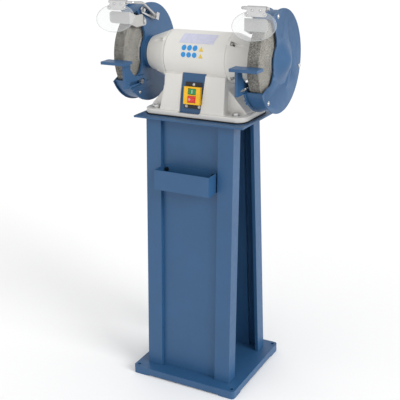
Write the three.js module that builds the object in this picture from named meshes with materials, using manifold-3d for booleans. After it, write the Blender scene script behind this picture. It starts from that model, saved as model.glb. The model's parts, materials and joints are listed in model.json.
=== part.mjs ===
// Pedestal bench grinder: a two-wheel grinder on a sheet-steel stand.
// Millimetres, +Z up, +X along the spindle to the operator's right, -Y towards the operator.
// The origin is the centre of the base plate's footprint, on the floor.
import * as THREE from "three";
import { mergeVertices } from "three/addons/utils/BufferGeometryUtils.js";
import Module from "manifold-3d";

const wasm = await Module();
wasm.setup();

// ---------------------------------------------------------------- driving dimensions

const GAP = 0.3; // between pieces that touch
const ROUND = 32; // facets of a large turned piece
const HIDDEN_ROUND = 24; // facets of a turned piece inside the casings
const WHEEL_ROUND = 48;
const SMALL_ROUND = 12; // facets of a bolt shank or a small hole

const BASE = {
  width: 340, // along X
  depth: 320,
  pad: 4, // height of the four corner pads under the plate
  padSize: 55,
  top: 25,
  wall: 10,
  deck: 8, // thickness of the plate between its rims
  corner: 10,
  holeX: 157.3,
  holeY: 146.4,
  holeRadius: 5.5,
  seatRadius: 10.8, // machined washer seat round each anchor hole
  seatHeight: 0.5,
};

const PANEL = {
  halfWidth: 136.7,
  sheet: 3,
  strip: 47, // width of the raised strip along each edge
  recess: 12.5,
  flange: 41, // depth of the side flange
  lip: 10, // return lip at the flange's free edge
  bottom: BASE.top + GAP,
  top: 788.7,
  frontAtBottom: 123.8, // distance of the front face from the centre plane
  frontAtTop: 82.3,
};
const PANEL_SLOPE = (PANEL.frontAtBottom - PANEL.frontAtTop) / (PANEL.top - PANEL.bottom);

const TOP_PLATE = { halfWidth: 169.2, front: -97, back: 108, bottom: 789, top: 794 };

const TRAY = {
  centreX: -1.6,
  halfWidth: 86.2,
  depth: 53,
  height: 56.2,
  top: 654.4,
  sheet: 2,
  screwX: 74,
  screwDrop: 10,
  screwRadius: 3,
};

const SPINDLE = { y: 16.7, z: 954.5 };

const CASTING = {
  halfWidth: 157,
  halfDepth: 84.7, // about the spindle's plane
  flange: 14,
  corner: 30,
  gasket: 3,
  gasketBorder: 38,
  wall: 8,
  coreHalfWidth: 94.5,
  coreFootLeft: -108, // the core widens a little to the left as it goes down
  coreFootRight: 95,
  coreWaist: 882,
  coreTop: 912,
  coreTopHalfDepth: 61.9,
  coreFootHalfDepth: 79.7,
  wingTop: 878,
  wingFoot: { x: 148, z: 817 },
  wingHalfDepth: 46.7,
  boltX: 124,
  boltHalfDepth: 61.7,
};
CASTING.bottom = TOP_PLATE.top + CASTING.gasket;
CASTING.flangeTop = CASTING.bottom + CASTING.flange;

const MOUNTING_BOLT = {
  radius: 5,
  hole: 5.6,
  washerRadius: 11,
  washer: 1.6,
  headRadius: 9.8, // across the hexagon's corners
  head: 6.4,
};

// The cable's way in, low on the casting's rear face.
const GLAND = { x: 45, z: 830, radius: 8, nutRadius: 12, nut: 8, passage: 4, depth: 16, height: 14 };

const MOTOR = { radius: 68.4, bore: 60, halfLength: 94.5, statorBore: 36, statorHalfLength: 50 };

const BELL = { end: 162, rimRadius: 47.8, wall: 6, shaftHole: 17, boss: 38 };

const BEARING = { inner: 15, outer: 31, width: 16, start: 139 };

const SHAFT = { core: 17, spindle: 12.5, shoulder: 180.6, end: 244 };

const WHEEL = { radius: 125, width: 32, start: 186.5, bore: 12.8, chamfer: 1.5 };
WHEEL.end = WHEEL.start + WHEEL.width;

const CLAMP_FLANGE = { radius: 49, thickness: 5.4, hub: 22 };
const SPINDLE_NUT = { radius: 20.8, thickness: 14 };

const GUARD = {
  radius: 138.2,
  bandRadius: 133,
  bandSheet: 3,
  plateFace: 174, // motor side of the inner plate
  plateInside: 180,
  coverInside: 225,
  coverFace: 228,
  lipAngle: 209, // degrees, counted from the rear over the top
  topAngle: 118,
  hub: 46,
  domeBase: 57,
  domeTop: 38,
  domeHeight: 24,
  domeOffset: 12,
  sheet: 3,
};
// The front opening of the guard, from its upper end down to the lip, about the spindle.
const GUARD_OPENING = [
  [-52, 105],
  [-37, 78],
  [-30, 57],
  [-32, 40],
  [-46, 17],
  [-48, -10],
  [-50, -28],
  [-60, -45],
  [-72, -53],
  [-92, -55],
];

const REST = {
  tableTop: { left: -4.5, right: 5.5 }, // about the spindle; the right rest is bolted on higher
  inner: 156,
  outer: 234,
  front: -167,
  back: -128,
  thickness: 8,
  webOuter: 173.6,
  webThickness: 7.6,
  webFront: -153,
  armBack: -48,
  armDrop: 51.5, // of the arm's upper edge below the table's top
  armHeight: 23,
  slotDrop: 65,
  slotFront: -130,
  slotBack: -58,
  slotHalfWidth: 4.5,
  boltY: -78,
  boltRadius: 4,
  boltHead: 8,
  boltHeadRadius: 7,
};

const ARRESTOR = {
  sheet: 2,
  tabOuter: 173.6,
  front: -107,
  tabBack: -24,
  tabBottom: 79,
  tabTop: 111,
  plateOuter: 236,
  plateBottom: 92,
  plateTop: 124,
  slotY: -36,
  slotBottom: 84,
  slotTop: 107,
  slotHalfWidth: 2.6,
  screwZ: 91.5,
  screwRadius: 2.3,
};

const SHIELD = {
  linkOuter: 170.6,
  linkThickness: 4,
  pivot: { y: -44, z: 122 },
  pivotRadius: 3,
  pivotHeadRadius: 5,
  pivotHead: 3.6,
  block: { y: 10, z: 100 },
  linkHalfWidth: 9,
  slotHalfWidth: 4.4,
  rodX: 161.5,
  rodRadius: 4,
  bar: { y: -105, z: 149 },
  barEnd: 238,
  elbow: { y: -56, z: 144 },
  bend: 12,
  collarRadius: 4.4,
  blockSize: { width: 13, height: 14, length: 20 },
  centreX: 206,
  halfWidth: 61,
  halfHeight: 39,
  sheet: 3,
  tilt: 24, // degrees; the lower edge stands forward
  bracketHalfWidth: 29,
  bracketSheet: 2,
  bracketDrop: 24,
};

const SWITCH = {
  centreZ: 857,
  panelTop: { z: 60, left: -38, right: 34 },
  panelFoot: { z: -50, left: -42, right: 23 },
  panelSheet: 2,
  inset: 4, // of the blue panel behind the casting's face
  plateSides: [-27, 23.5],
  plateHalfHeight: 36,
  plateSheet: 3,
  frameHalfWidth: 25,
  frameHalfHeight: 24,
  frameHeight: 11,
  buttonHalfWidth: 12,
  startBottom: 3,
  startTop: 19,
  startProud: 1, // of a button's face before the frame
  stopBottom: -19,
  stopTop: -1,
  stopProud: 6,
  travel: 3,
  frameFloor: 1, // thickness left behind a button's well
  contacts: { halfWidth: 18, depth: 26, bottom: -20, top: 12 },
  windowMargin: 2, // round the contacts in the blue panel
  recessDepth: 40,
};

// ---------------------------------------------------------------- colours

const PAINTS = {
  bluePaint: { color: 0x46698f, roughness: 0.45, metalness: 0.0 },
  offWhitePaint: { color: 0xe4e1da, roughness: 0.4, metalness: 0.0 },
  palePaint: { color: 0xcfcfca, roughness: 0.4, metalness: 0.1 },
  zinc: { color: 0xc9cacc, roughness: 0.3, metalness: 0.9 },
  steel: { color: 0x9b9c9e, roughness: 0.35, metalness: 0.9 },
  blackSteel: { color: 0x2b2b2d, roughness: 0.5, metalness: 0.8 },
  laminations: { color: 0x5a5a5c, roughness: 0.6, metalness: 0.7 },
  abrasive: { color: 0x86827b, roughness: 0.95, metalness: 0.0 },
  rubber: { color: 0x161616, roughness: 0.8, metalness: 0.0 },
  blackPlastic: { color: 0x1b1a1a, roughness: 0.5, metalness: 0.0 },
  yellowPlastic: { color: 0xf3b912, roughness: 0.35, metalness: 0.0 },
  greenPlastic: { color: 0x2f9150, roughness: 0.35, metalness: 0.0 },
  redPlastic: { color: 0xdd3b36, roughness: 0.35, metalness: 0.0 },
  clearPlastic: { color: 0xf4f8fa, roughness: 0.08, metalness: 0.0, transparent: true, opacity: 0.3 },
};
const MATERIALS = Object.fromEntries(
  Object.entries(PAINTS).map(([name, look]) => [name, new THREE.MeshStandardMaterial(look)]),
);

// ---------------------------------------------------------------- solids from three.js shapes

function solid(geometry) {
  const bare = new THREE.BufferGeometry();
  bare.setAttribute("position", geometry.getAttribute("position"));
  bare.setIndex(geometry.index);
  const merged = mergeVertices(bare);
  const vertProperties = merged.attributes.position.array;
  const triVerts = new Uint32Array(merged.index.array);
  return new wasm.Manifold(new wasm.Mesh({ numProp: 3, vertProperties, triVerts }));
}

function geometryOf(body) {
  const { vertProperties, triVerts } = body.getMesh();
  const indexed = new THREE.BufferGeometry();
  indexed.setAttribute("position", new THREE.BufferAttribute(vertProperties, 3));
  indexed.setIndex(new THREE.BufferAttribute(triVerts, 1));
  const flat = indexed.toNonIndexed();
  flat.computeVertexNormals();
  return flat;
}

function joined(bodies) {
  return bodies.reduce((whole, body) => whole.add(body));
}

function box([x0, x1], [y0, y1], [z0, z1]) {
  const geometry = new THREE.BoxGeometry(x1 - x0, y1 - y0, z1 - z0);
  return solid(geometry.translate((x0 + x1) / 2, (y0 + y1) / 2, (z0 + z1) / 2));
}

function outline(points) {
  return new THREE.Shape(points.map(([u, v]) => new THREE.Vector2(u, v)));
}

function roundedRectangle([u0, u1], [v0, v1], radius) {
  const shape = new THREE.Shape();
  shape.absarc(u1 - radius, v0 + radius, radius, -Math.PI / 2, 0);
  shape.absarc(u1 - radius, v1 - radius, radius, 0, Math.PI / 2);
  shape.absarc(u0 + radius, v1 - radius, radius, Math.PI / 2, Math.PI);
  shape.absarc(u0 + radius, v0 + radius, radius, Math.PI, 1.5 * Math.PI);
  return shape;
}

// A bar with round ends between two points, such as a slot or a link.
function roundEndedBar(start, end, radius) {
  const along = Math.atan2(end.v - start.v, end.u - start.u);
  const shape = new THREE.Shape();
  shape.absarc(end.u, end.v, radius, along - Math.PI / 2, along + Math.PI / 2);
  shape.absarc(start.u, start.v, radius, along + Math.PI / 2, along + 1.5 * Math.PI);
  return shape;
}

function extrusion(shape, depth, curveSegments) {
  return new THREE.ExtrudeGeometry(shape, { depth, bevelEnabled: false, curveSegments });
}

// Extrudes an outline drawn in (x, y) from one height to another.
function extrudeZ(shape, [z0, z1], curveSegments = 8) {
  return solid(extrusion(shape, z1 - z0, curveSegments).translate(0, 0, z0));
}

// Extrudes an outline drawn in (y, z) along X.
function extrudeX(shape, [x0, x1], curveSegments = 8) {
  const turn = new THREE.Matrix4().set(0, 0, 1, x0, 1, 0, 0, 0, 0, 1, 0, 0, 0, 0, 0, 1);
  return solid(extrusion(shape, x1 - x0, curveSegments).applyMatrix4(turn));
}

// Extrudes an outline drawn in (x, z) along Y.
function extrudeY(shape, [y0, y1], curveSegments = 8) {
  const turn = new THREE.Matrix4().set(1, 0, 0, 0, 0, 0, -1, y1, 0, 1, 0, 0, 0, 0, 0, 1);
  return solid(extrusion(shape, y1 - y0, curveSegments).applyMatrix4(turn));
}

// Turns a closed profile of (x, radius) points about the X axis.
function turned(profile, segments = ROUND) {
  const points = profile.map(([x, radius]) => new THREE.Vector2(radius, x));
  if (THREE.ShapeUtils.area(points) < 0) points.reverse();
  if (points.every((point) => point.x > 0)) points.push(points[0].clone());
  return solid(new THREE.LatheGeometry(points, segments).rotateZ(-Math.PI / 2));
}

function rod([x0, x1], radius, [y, z] = [0, 0], segments = SMALL_ROUND) {
  const cylinder = new THREE.CylinderGeometry(radius, radius, x1 - x0, segments);
  return solid(cylinder.rotateZ(-Math.PI / 2).translate((x0 + x1) / 2, y, z));
}

function post([z0, z1], radius, [x, y], segments = SMALL_ROUND) {
  const cylinder = new THREE.CylinderGeometry(radius, radius, z1 - z0, segments);
  return solid(cylinder.rotateX(Math.PI / 2).translate(x, y, (z0 + z1) / 2));
}

function pinY([y0, y1], radius, [x, z], segments = SMALL_ROUND) {
  const cylinder = new THREE.CylinderGeometry(radius, radius, y1 - y0, segments);
  return solid(cylinder.translate(x, (y0 + y1) / 2, z));
}

// ---------------------------------------------------------------- the scene graph

const grinder = new THREE.Group();

function addMesh(parent, name, body, material, lean) {
  const geometry = geometryOf(body);
  if (lean) geometry.applyMatrix4(lean);
  const mesh = new THREE.Mesh(geometry, MATERIALS[material]);
  mesh.name = name;
  parent.add(mesh);
}

// ---------------------------------------------------------------- stand

function basePlate() {
  const halfX = BASE.width / 2;
  const halfY = BASE.depth / 2;
  const rim = BASE.wall;
  const plan = roundedRectangle([-halfX, halfX], [-halfY, halfY], BASE.corner);
  let plate = extrudeZ(plan, [BASE.pad, BASE.top], 4);
  const hollow = box([rim - halfX, halfX - rim], [rim - halfY, halfY - rim], [0, BASE.top - BASE.deck]);
  plate = plate.subtract(hollow);
  for (const x of [-1, 1]) {
    for (const y of [-1, 1]) {
      const foot = roundedRectangle([-BASE.padSize, 0], [-BASE.padSize, 0], BASE.corner);
      const pad = extrudeZ(foot, [0, BASE.top - BASE.deck], 4);
      const turnedPad = pad.scale([x, y, 1]).translate([x * halfX, y * halfY, 0]);
      const anchor = [x * BASE.holeX, y * BASE.holeY];
      const seat = post([BASE.top - 1, BASE.top + BASE.seatHeight], BASE.seatRadius, anchor, HIDDEN_ROUND);
      const hole = post([-1, BASE.top + 1], BASE.holeRadius, anchor);
      plate = plate.add(turnedPad).add(seat).subtract(hole);
    }
  }
  return plate;
}

// The bent section of a stand panel, seen from above, with its face at y = 0 and its back at +y.
function panelSection() {
  const { halfWidth, sheet, strip, recess, flange, lip } = PANEL;
  const step = halfWidth - strip;
  const half = [
    [step, recess],
    [step, 0],
    [halfWidth, 0],
    [halfWidth, flange],
    [halfWidth - lip, flange],
    [halfWidth - lip, flange - sheet],
    [halfWidth - sheet, flange - sheet],
    [halfWidth - sheet, sheet],
    [step + sheet, sheet],
    [step + sheet, recess + sheet],
  ];
  const mirrored = half.map(([x, y]) => [-x, y]).reverse();
  return outline([...half, ...mirrored]);
}

// Moves a piece drawn upright at y = 0 onto the stand's front, which leans back as it rises.
function ontoFront() {
  const atFloor = -PANEL.frontAtBottom - PANEL_SLOPE * PANEL.bottom;
  return new THREE.Matrix4().set(1, 0, 0, 0, 0, 1, PANEL_SLOPE, atFloor, 0, 0, 1, 0, 0, 0, 0, 1);
}

function trayScrewPlace(side) {
  return [TRAY.centreX + side * TRAY.screwX, TRAY.top - TRAY.screwDrop];
}

function frontPanel() {
  const upright = extrudeZ(panelSection(), [PANEL.bottom, PANEL.top]);
  const back = PANEL.recess + PANEL.sheet;
  const holes = [-1, 1].map((side) => {
    return pinY([-1, back + 1], TRAY.screwRadius + GAP, trayScrewPlace(side));
  });
  return upright.subtract(joined(holes));
}

function toolTray() {
  const { centreX, halfWidth, depth, height, top, sheet } = TRAY;
  const back = PANEL.recess - GAP;
  const bottom = top - height;
  const sides = [centreX - halfWidth, centreX + halfWidth];
  const shell = box(sides, [back - depth, back], [bottom, top]);
  const inside = box(
    [sides[0] + sheet, sides[1] - sheet],
    [back - depth + sheet, back - sheet],
    [bottom + sheet, top + 1],
  );
  const holes = [-1, 1].map((side) => {
    return pinY([back - sheet - 1, back + 1], TRAY.screwRadius + GAP, trayScrewPlace(side));
  });
  return shell.subtract(inside).subtract(joined(holes));
}

function trayScrew(side) {
  const place = trayScrewPlace(side);
  const seat = PANEL.recess - TRAY.sheet - 2 * GAP;
  const shank = pinY([seat - 1, PANEL.recess + PANEL.sheet + 6], TRAY.screwRadius, place);
  const head = pinY([seat - 3, seat], 2 * TRAY.screwRadius, place);
  return shank.add(head);
}

function topPlate() {
  const { halfWidth, front, back, bottom, top } = TOP_PLATE;
  const plate = box([-halfWidth, halfWidth], [front, back], [bottom, top]);
  return plate.subtract(boltHoles([bottom - 1, top + 1]));
}

function addStand() {
  const lean = ontoFront();
  addMesh(grinder, "base_plate", basePlate(), "bluePaint");
  addMesh(grinder, "front_panel", frontPanel(), "bluePaint", lean);
  const rear = new THREE.Group();
  rear.rotation.z = Math.PI;
  grinder.add(rear);
  const rearPanel = extrudeZ(panelSection(), [PANEL.bottom, PANEL.top]);
  addMesh(rear, "rear_panel", rearPanel, "bluePaint", lean);
  addMesh(grinder, "top_plate", topPlate(), "bluePaint");
  addMesh(grinder, "tool_tray", toolTray(), "bluePaint", lean);
  addMesh(grinder, "tray_screw_left", trayScrew(-1), "blackSteel", lean);
  addMesh(grinder, "tray_screw_right", trayScrew(1), "blackSteel", lean);
}

// ---------------------------------------------------------------- pedestal casting

function boltPlaces() {
  const front = SPINDLE.y - CASTING.boltHalfDepth;
  const back = SPINDLE.y + CASTING.boltHalfDepth;
  return [
    [-CASTING.boltX, front],
    [CASTING.boltX, front],
    [-CASTING.boltX, back],
    [CASTING.boltX, back],
  ];
}

function boltHoles(range) {
  return joined(boltPlaces().map((place) => post(range, MOUNTING_BOLT.hole, place)));
}

function footprint(inset = 0) {
  const halfX = CASTING.halfWidth - inset;
  const halfY = CASTING.halfDepth - inset;
  const depth = [SPINDLE.y - halfY, SPINDLE.y + halfY];
  return roundedRectangle([-halfX, halfX], depth, Math.max(CASTING.corner - inset, 4));
}

function gasket() {
  const range = [TOP_PLATE.top + GAP, CASTING.bottom - GAP];
  const through = [TOP_PLATE.top, CASTING.bottom];
  const window = extrudeZ(footprint(CASTING.gasketBorder), through, 6);
  return extrudeZ(footprint(-1), range, 6).subtract(window).subtract(boltHoles(through));
}

// The core's cross-section at a height, inset by a wall thickness, as four corners.
function coreCorners(inset, z) {
  const { coreHalfWidth, coreFootLeft, coreFootRight, coreWaist, coreTop, bottom } = CASTING;
  const between = (low, high, rise) => low + (high - low) * rise;
  const flare = Math.min((z - bottom) / (coreWaist - bottom), 1);
  const left = between(coreFootLeft, -coreHalfWidth, flare) + inset;
  const right = between(coreFootRight, coreHalfWidth, flare) - inset;
  const lean = (z - bottom) / (coreTop - bottom);
  const half = between(CASTING.coreFootHalfDepth, CASTING.coreTopHalfDepth, lean) - inset;
  const [front, back] = [SPINDLE.y - half, SPINDLE.y + half];
  return [[left, front, z], [right, front, z], [left, back, z], [right, back, z]];
}

// The core up to a height: flared below its waist, under the end bells, and straight above.
function core(inset, top) {
  const levels = [CASTING.bottom - inset, Math.min(CASTING.coreWaist, top), top];
  const [foot, waist, crown] = levels.map((z) => coreCorners(inset, z));
  const lower = wasm.Manifold.hull([...foot, ...waist]);
  return top > CASTING.coreWaist ? lower.add(wasm.Manifold.hull([...waist, ...crown])) : lower;
}

// The side wings' outline in (x, z), inset by a wall thickness.
function wingOutline(inset) {
  const { coreHalfWidth, wingTop, wingFoot, bottom } = CASTING;
  const foot = bottom - inset;
  return outline([
    [inset - wingFoot.x, foot],
    [wingFoot.x - inset, foot],
    [wingFoot.x - inset, wingFoot.z - inset],
    [coreHalfWidth - inset / 2, wingTop - inset],
    [inset / 2 - coreHalfWidth, wingTop - inset],
    [inset - wingFoot.x, wingFoot.z - inset],
  ]);
}

function motorHousing() {
  const { coreHalfWidth, coreTop, wall, wingHalfDepth, bottom, flangeTop } = CASTING;
  const wingDepth = [SPINDLE.y - wingHalfDepth, SPINDLE.y + wingHalfDepth];
  const ends = [-MOTOR.halfLength, MOTOR.halfLength];
  const along = [SPINDLE.y, SPINDLE.z];
  const outside = joined([
    extrudeZ(footprint(), [bottom, flangeTop], 6),
    core(0, coreTop),
    extrudeY(wingOutline(0), wingDepth),
    rod(ends, MOTOR.radius, along, ROUND),
  ]);
  const cavityTop = SPINDLE.z - MOTOR.radius - wall;
  const hollow = joined([
    core(wall, cavityTop),
    extrudeY(wingOutline(wall), [wingDepth[0] + wall, wingDepth[1] - wall]),
    rod([-coreHalfWidth - 1, coreHalfWidth + 1], MOTOR.bore, along, ROUND),
  ]);
  const holes = boltHoles([bottom - 1, flangeTop + 1]);
  const rear = [SPINDLE.y, SPINDLE.y + CASTING.halfDepth];
  const glandPort = pinY(rear, GLAND.radius + GAP, [GLAND.x, GLAND.z]);
  return outside.subtract(hollow).subtract(holes).subtract(switchRecess()).subtract(glandPort);
}

function cableGland() {
  const face = SPINDLE.y + CASTING.coreFootHalfDepth;
  const place = [GLAND.x, GLAND.z];
  const { depth, height } = GLAND;
  const body = pinY([face - depth, face + height], GLAND.radius, place);
  const nut = pinY([face + 1, face + 1 + GLAND.nut], GLAND.nutRadius, place, 6);
  const passage = pinY([face - depth - 1, face + height + 1], GLAND.passage, place);
  return body.add(nut).subtract(passage);
}

// Each bolt screws into the top plate.
function mountingBolt([x, y]) {
  const { radius, washerRadius, washer, headRadius, head } = MOUNTING_BOLT;
  const seat = CASTING.flangeTop + GAP;
  return joined([
    post([TOP_PLATE.bottom, seat + 1], radius, [x, y]),
    post([seat, seat + washer], washerRadius, [x, y]),
    post([seat, seat + washer + head], headRadius, [x, y], 6),
  ]);
}

function addPedestal() {
  addMesh(grinder, "base_gasket", gasket(), "rubber");
  addMesh(grinder, "motor_housing", motorHousing(), "offWhitePaint");
  addMesh(grinder, "cable_gland", cableGland(), "blackPlastic");
  const names = ["front_left", "front_right", "rear_left", "rear_right"];
  boltPlaces().forEach((place, i) => {
    addMesh(grinder, `mounting_bolt_${names[i]}`, mountingBolt(place), "zinc");
  });
}

// ---------------------------------------------------------------- switch

const FACE_RUN = CASTING.coreFootHalfDepth - CASTING.coreTopHalfDepth;
const FACE_LEAN = Math.atan2(FACE_RUN, CASTING.coreTop - CASTING.bottom);

// The switch's own frame: x to the right, y into the casting, z up its leaning front face.
function switchFrame() {
  const rise = (CASTING.coreTop - SWITCH.centreZ) / (CASTING.coreTop - CASTING.bottom);
  const face = SPINDLE.y - CASTING.coreTopHalfDepth - rise * FACE_RUN;
  const place = new THREE.Group();
  place.position.set(0, face, SWITCH.centreZ);
  place.rotation.x = -FACE_LEAN;
  place.updateMatrixWorld();
  return place;
}

function panelOutline(margin) {
  const { panelTop, panelFoot } = SWITCH;
  return outline([
    [panelFoot.left - margin, panelFoot.z - margin],
    [panelFoot.right + margin, panelFoot.z - margin],
    [panelTop.right + margin, panelTop.z + margin],
    [panelTop.left - margin, panelTop.z + margin],
  ]);
}

// A block round the switch's contacts, in the switch's own frame.
function aroundContacts(margin, depthRange) {
  const { halfWidth, bottom, top } = SWITCH.contacts;
  return box([-halfWidth - margin, halfWidth + margin], depthRange, [bottom - margin, top + margin]);
}

// The recess in the casting's face, with a window behind it for the switch's contacts.
function switchRecess() {
  const { inset, panelSheet, windowMargin, recessDepth } = SWITCH;
  const recess = extrudeY(panelOutline(GAP), [-recessDepth / 2, inset + panelSheet + GAP]);
  const window = aroundContacts(2 * windowMargin, [0, recessDepth]);
  const matrix = switchFrame().matrixWorld;
  return recess.add(window).transform(matrix.elements);
}

function switchPanel() {
  const { inset, panelSheet, windowMargin } = SWITCH;
  const window = aroundContacts(windowMargin, [inset - 1, inset + panelSheet + 1]);
  return extrudeY(panelOutline(0), [inset, inset + panelSheet]).subtract(window);
}

function switchBackPlate() {
  const { inset, plateSides, plateHalfHeight, plateSheet, contacts } = SWITCH;
  const back = inset - GAP;
  const plate = box(plateSides, [back - plateSheet, back], [-plateHalfHeight, plateHalfHeight]);
  return plate.add(aroundContacts(0, [back - 1, contacts.depth]));
}

const SWITCH_FRAME_BACK = SWITCH.inset - SWITCH.plateSheet - 2 * GAP;
const SWITCH_FRAME_FRONT = SWITCH_FRAME_BACK - SWITCH.frameHeight;

function buttonWell(bottom, top) {
  const margin = 2 * GAP;
  const half = SWITCH.buttonHalfWidth + margin;
  const depth = [SWITCH_FRAME_FRONT - 1, SWITCH_FRAME_BACK - SWITCH.frameFloor];
  return box([-half, half], depth, [bottom - margin, top + margin]);
}

function switchFrameShell() {
  const { frameHalfWidth, frameHalfHeight, startBottom, startTop, stopBottom, stopTop } = SWITCH;
  const shell = box(
    [-frameHalfWidth, frameHalfWidth],
    [SWITCH_FRAME_FRONT, SWITCH_FRAME_BACK],
    [-frameHalfHeight, frameHalfHeight],
  );
  return shell.subtract(buttonWell(startBottom, startTop)).subtract(buttonWell(stopBottom, stopTop));
}

function button(proud, bottom, top) {
  const { buttonHalfWidth, travel, frameFloor } = SWITCH;
  const back = SWITCH_FRAME_BACK - frameFloor - travel - GAP;
  return box([-buttonHalfWidth, buttonHalfWidth], [SWITCH_FRAME_FRONT - proud, back], [bottom, top]);
}

function addSwitch() {
  const place = switchFrame();
  grinder.add(place);
  const { startProud, startBottom, startTop, stopProud, stopBottom, stopTop } = SWITCH;
  addMesh(place, "switch_panel", switchPanel(), "bluePaint");
  addMesh(place, "switch_back_plate", switchBackPlate(), "blackPlastic");
  addMesh(place, "switch_frame", switchFrameShell(), "yellowPlastic");
  addMesh(place, "start_button", button(startProud, startBottom, startTop), "greenPlastic");
  addMesh(place, "stop_button", button(stopProud, stopBottom, stopTop), "redPlastic");
}

// ---------------------------------------------------------------- motor and spindle

const spindleLine = new THREE.Group();
spindleLine.position.set(0, SPINDLE.y, SPINDLE.z);
grinder.add(spindleLine);

function statorCore() {
  const { statorHalfLength, statorBore, bore } = MOTOR;
  const inside = bore - GAP;
  const end = statorHalfLength + 16;
  return turned([
    [-statorHalfLength, statorBore],
    [statorHalfLength, statorBore],
    [statorHalfLength, statorBore + 6],
    [end, statorBore + 8],
    [end, inside - 6],
    [statorHalfLength, inside - 3],
    [statorHalfLength, inside],
    [-statorHalfLength, inside],
    [-statorHalfLength, inside - 3],
    [-end, inside - 6],
    [-end, statorBore + 8],
    [-statorHalfLength, statorBore + 6],
  ], HIDDEN_ROUND);
}

function rotorCore() {
  const half = MOTOR.statorHalfLength;
  const outer = MOTOR.statorBore - 0.8;
  const bore = SHAFT.core + GAP;
  return turned([
    [-half - 8, bore],
    [half + 8, bore],
    [half + 8, outer - 3],
    [half, outer],
    [-half, outer],
    [-half - 8, outer - 3],
  ], HIDDEN_ROUND);
}

function shaft() {
  const bearing = BEARING.inner - GAP;
  const half = [
    [0, SHAFT.core],
    [BEARING.start - 4, SHAFT.core],
    [BEARING.start - 4, bearing],
    [SHAFT.shoulder, bearing],
    [SHAFT.shoulder, SHAFT.spindle],
    [SHAFT.end - 1.5, SHAFT.spindle],
    [SHAFT.end, SHAFT.spindle - 1.5],
    [SHAFT.end, 0],
  ];
  const mirrored = half.slice(1).reverse().map(([x, radius]) => [-x, radius]);
  return turned([...mirrored, ...half.slice(1)], HIDDEN_ROUND);
}

function endBell() {
  const { end, rimRadius, wall, shaftHole, boss } = BELL;
  const open = MOTOR.halfLength + GAP;
  const seat = BEARING.outer + GAP;
  const seatStart = BEARING.start - 2;
  const seatEnd = BEARING.start + BEARING.width + GAP;
  return turned([
    [open, MOTOR.radius],
    [end, rimRadius],
    [end, shaftHole],
    [seatEnd, shaftHole],
    [seatEnd, seat],
    [seatStart, seat],
    [seatStart, boss],
    [end - wall, boss],
    [end - wall - 4, rimRadius - wall],
    [open, MOTOR.radius - wall],
  ]);
}

function bearing() {
  const { inner, outer, width, start } = BEARING;
  return turned([
    [start, inner],
    [start + width, inner],
    [start + width, outer],
    [start, outer],
  ], HIDDEN_ROUND);
}

function clampFlange(wheelFace, direction) {
  const { radius, thickness, hub } = CLAMP_FLANGE;
  const face = wheelFace + direction * GAP;
  const back = face + direction * thickness;
  const relief = face + direction * 1.2;
  const bore = SHAFT.spindle + GAP;
  return turned([
    [back, bore],
    [back, hub],
    [back - direction * 1.5, radius - 3],
    [back - direction * 3, radius],
    [face, radius],
    [face, radius - 14],
    [relief, radius - 14],
    [relief, bore],
  ], HIDDEN_ROUND);
}

function grindingWheel() {
  const { radius, start, end, bore, chamfer } = WHEEL;
  return turned([
    [start, bore],
    [end, bore],
    [end, radius - chamfer],
    [end - chamfer, radius],
    [start + chamfer, radius],
    [start, radius - chamfer],
  ], WHEEL_ROUND);
}

function spindleNut() {
  const start = WHEEL.end + CLAMP_FLANGE.thickness + 2 * GAP;
  const nut = rod([start, start + SPINDLE_NUT.thickness], SPINDLE_NUT.radius, [0, 0], 6);
  return nut.subtract(rod([start - 1, start + 20], SHAFT.spindle + GAP, [0, 0], HIDDEN_ROUND));
}

function addMotor() {
  addMesh(spindleLine, "stator_core", statorCore(), "laminations");
  addMesh(spindleLine, "rotor_core", rotorCore(), "laminations");
  addMesh(spindleLine, "shaft", shaft(), "steel");
}

// ---------------------------------------------------------------- wheel guard

const DEGREE = Math.PI / 180;

// The side outline of the guard, in (y, z) about the spindle.
function guardOutline() {
  const rim = guardArc(GUARD.radius);
  const mouth = GUARD_OPENING.map(([y, z]) => new THREE.Vector2(y, z));
  const edge = new THREE.SplineCurve([rim.at(-1), ...mouth, rim[0]]).getPoints(22);
  return new THREE.Shape([...rim, ...edge.slice(1, -1)]);
}

// The guard's round side as points, from the lip under and behind the wheel to the top.
function guardArc(radius) {
  const from = GUARD.lipAngle * DEGREE;
  const to = (GUARD.topAngle + 360) * DEGREE;
  return new THREE.EllipseCurve(0, 0, radius, radius, from, to).getPoints(40);
}

function guardPlate(name) {
  const plate = extrudeX(guardOutline(), [GUARD.plateFace, GUARD.plateInside]);
  const hub = rod([BELL.end + GAP, GUARD.plateFace + 1], GUARD.hub, [0, 0], ROUND);
  const bore = rod([BELL.end - 5, GUARD.plateInside + 5], BELL.shaftHole, [0, 0], HIDDEN_ROUND);
  const holes = [
    [...restBoltPlace(name), REST.boltRadius],
    [ARRESTOR.slotY, ARRESTOR.screwZ, ARRESTOR.screwRadius],
    [SHIELD.pivot.y, SHIELD.pivot.z, SHIELD.pivotRadius],
  ].map(([y, z, radius]) => rod([GUARD.plateFace - 5, GUARD.plateInside + 5], radius + GAP, [y, z]));
  return plate.add(hub).subtract(bore).subtract(joined(holes));
}

function guardBand() {
  const outside = guardArc(GUARD.bandRadius);
  const inside = guardArc(GUARD.bandRadius - GUARD.bandSheet).reverse();
  const section = new THREE.Shape([...outside, ...inside]);
  return extrudeX(section, [GUARD.plateInside + GAP, GUARD.coverInside - GAP]);
}

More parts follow.
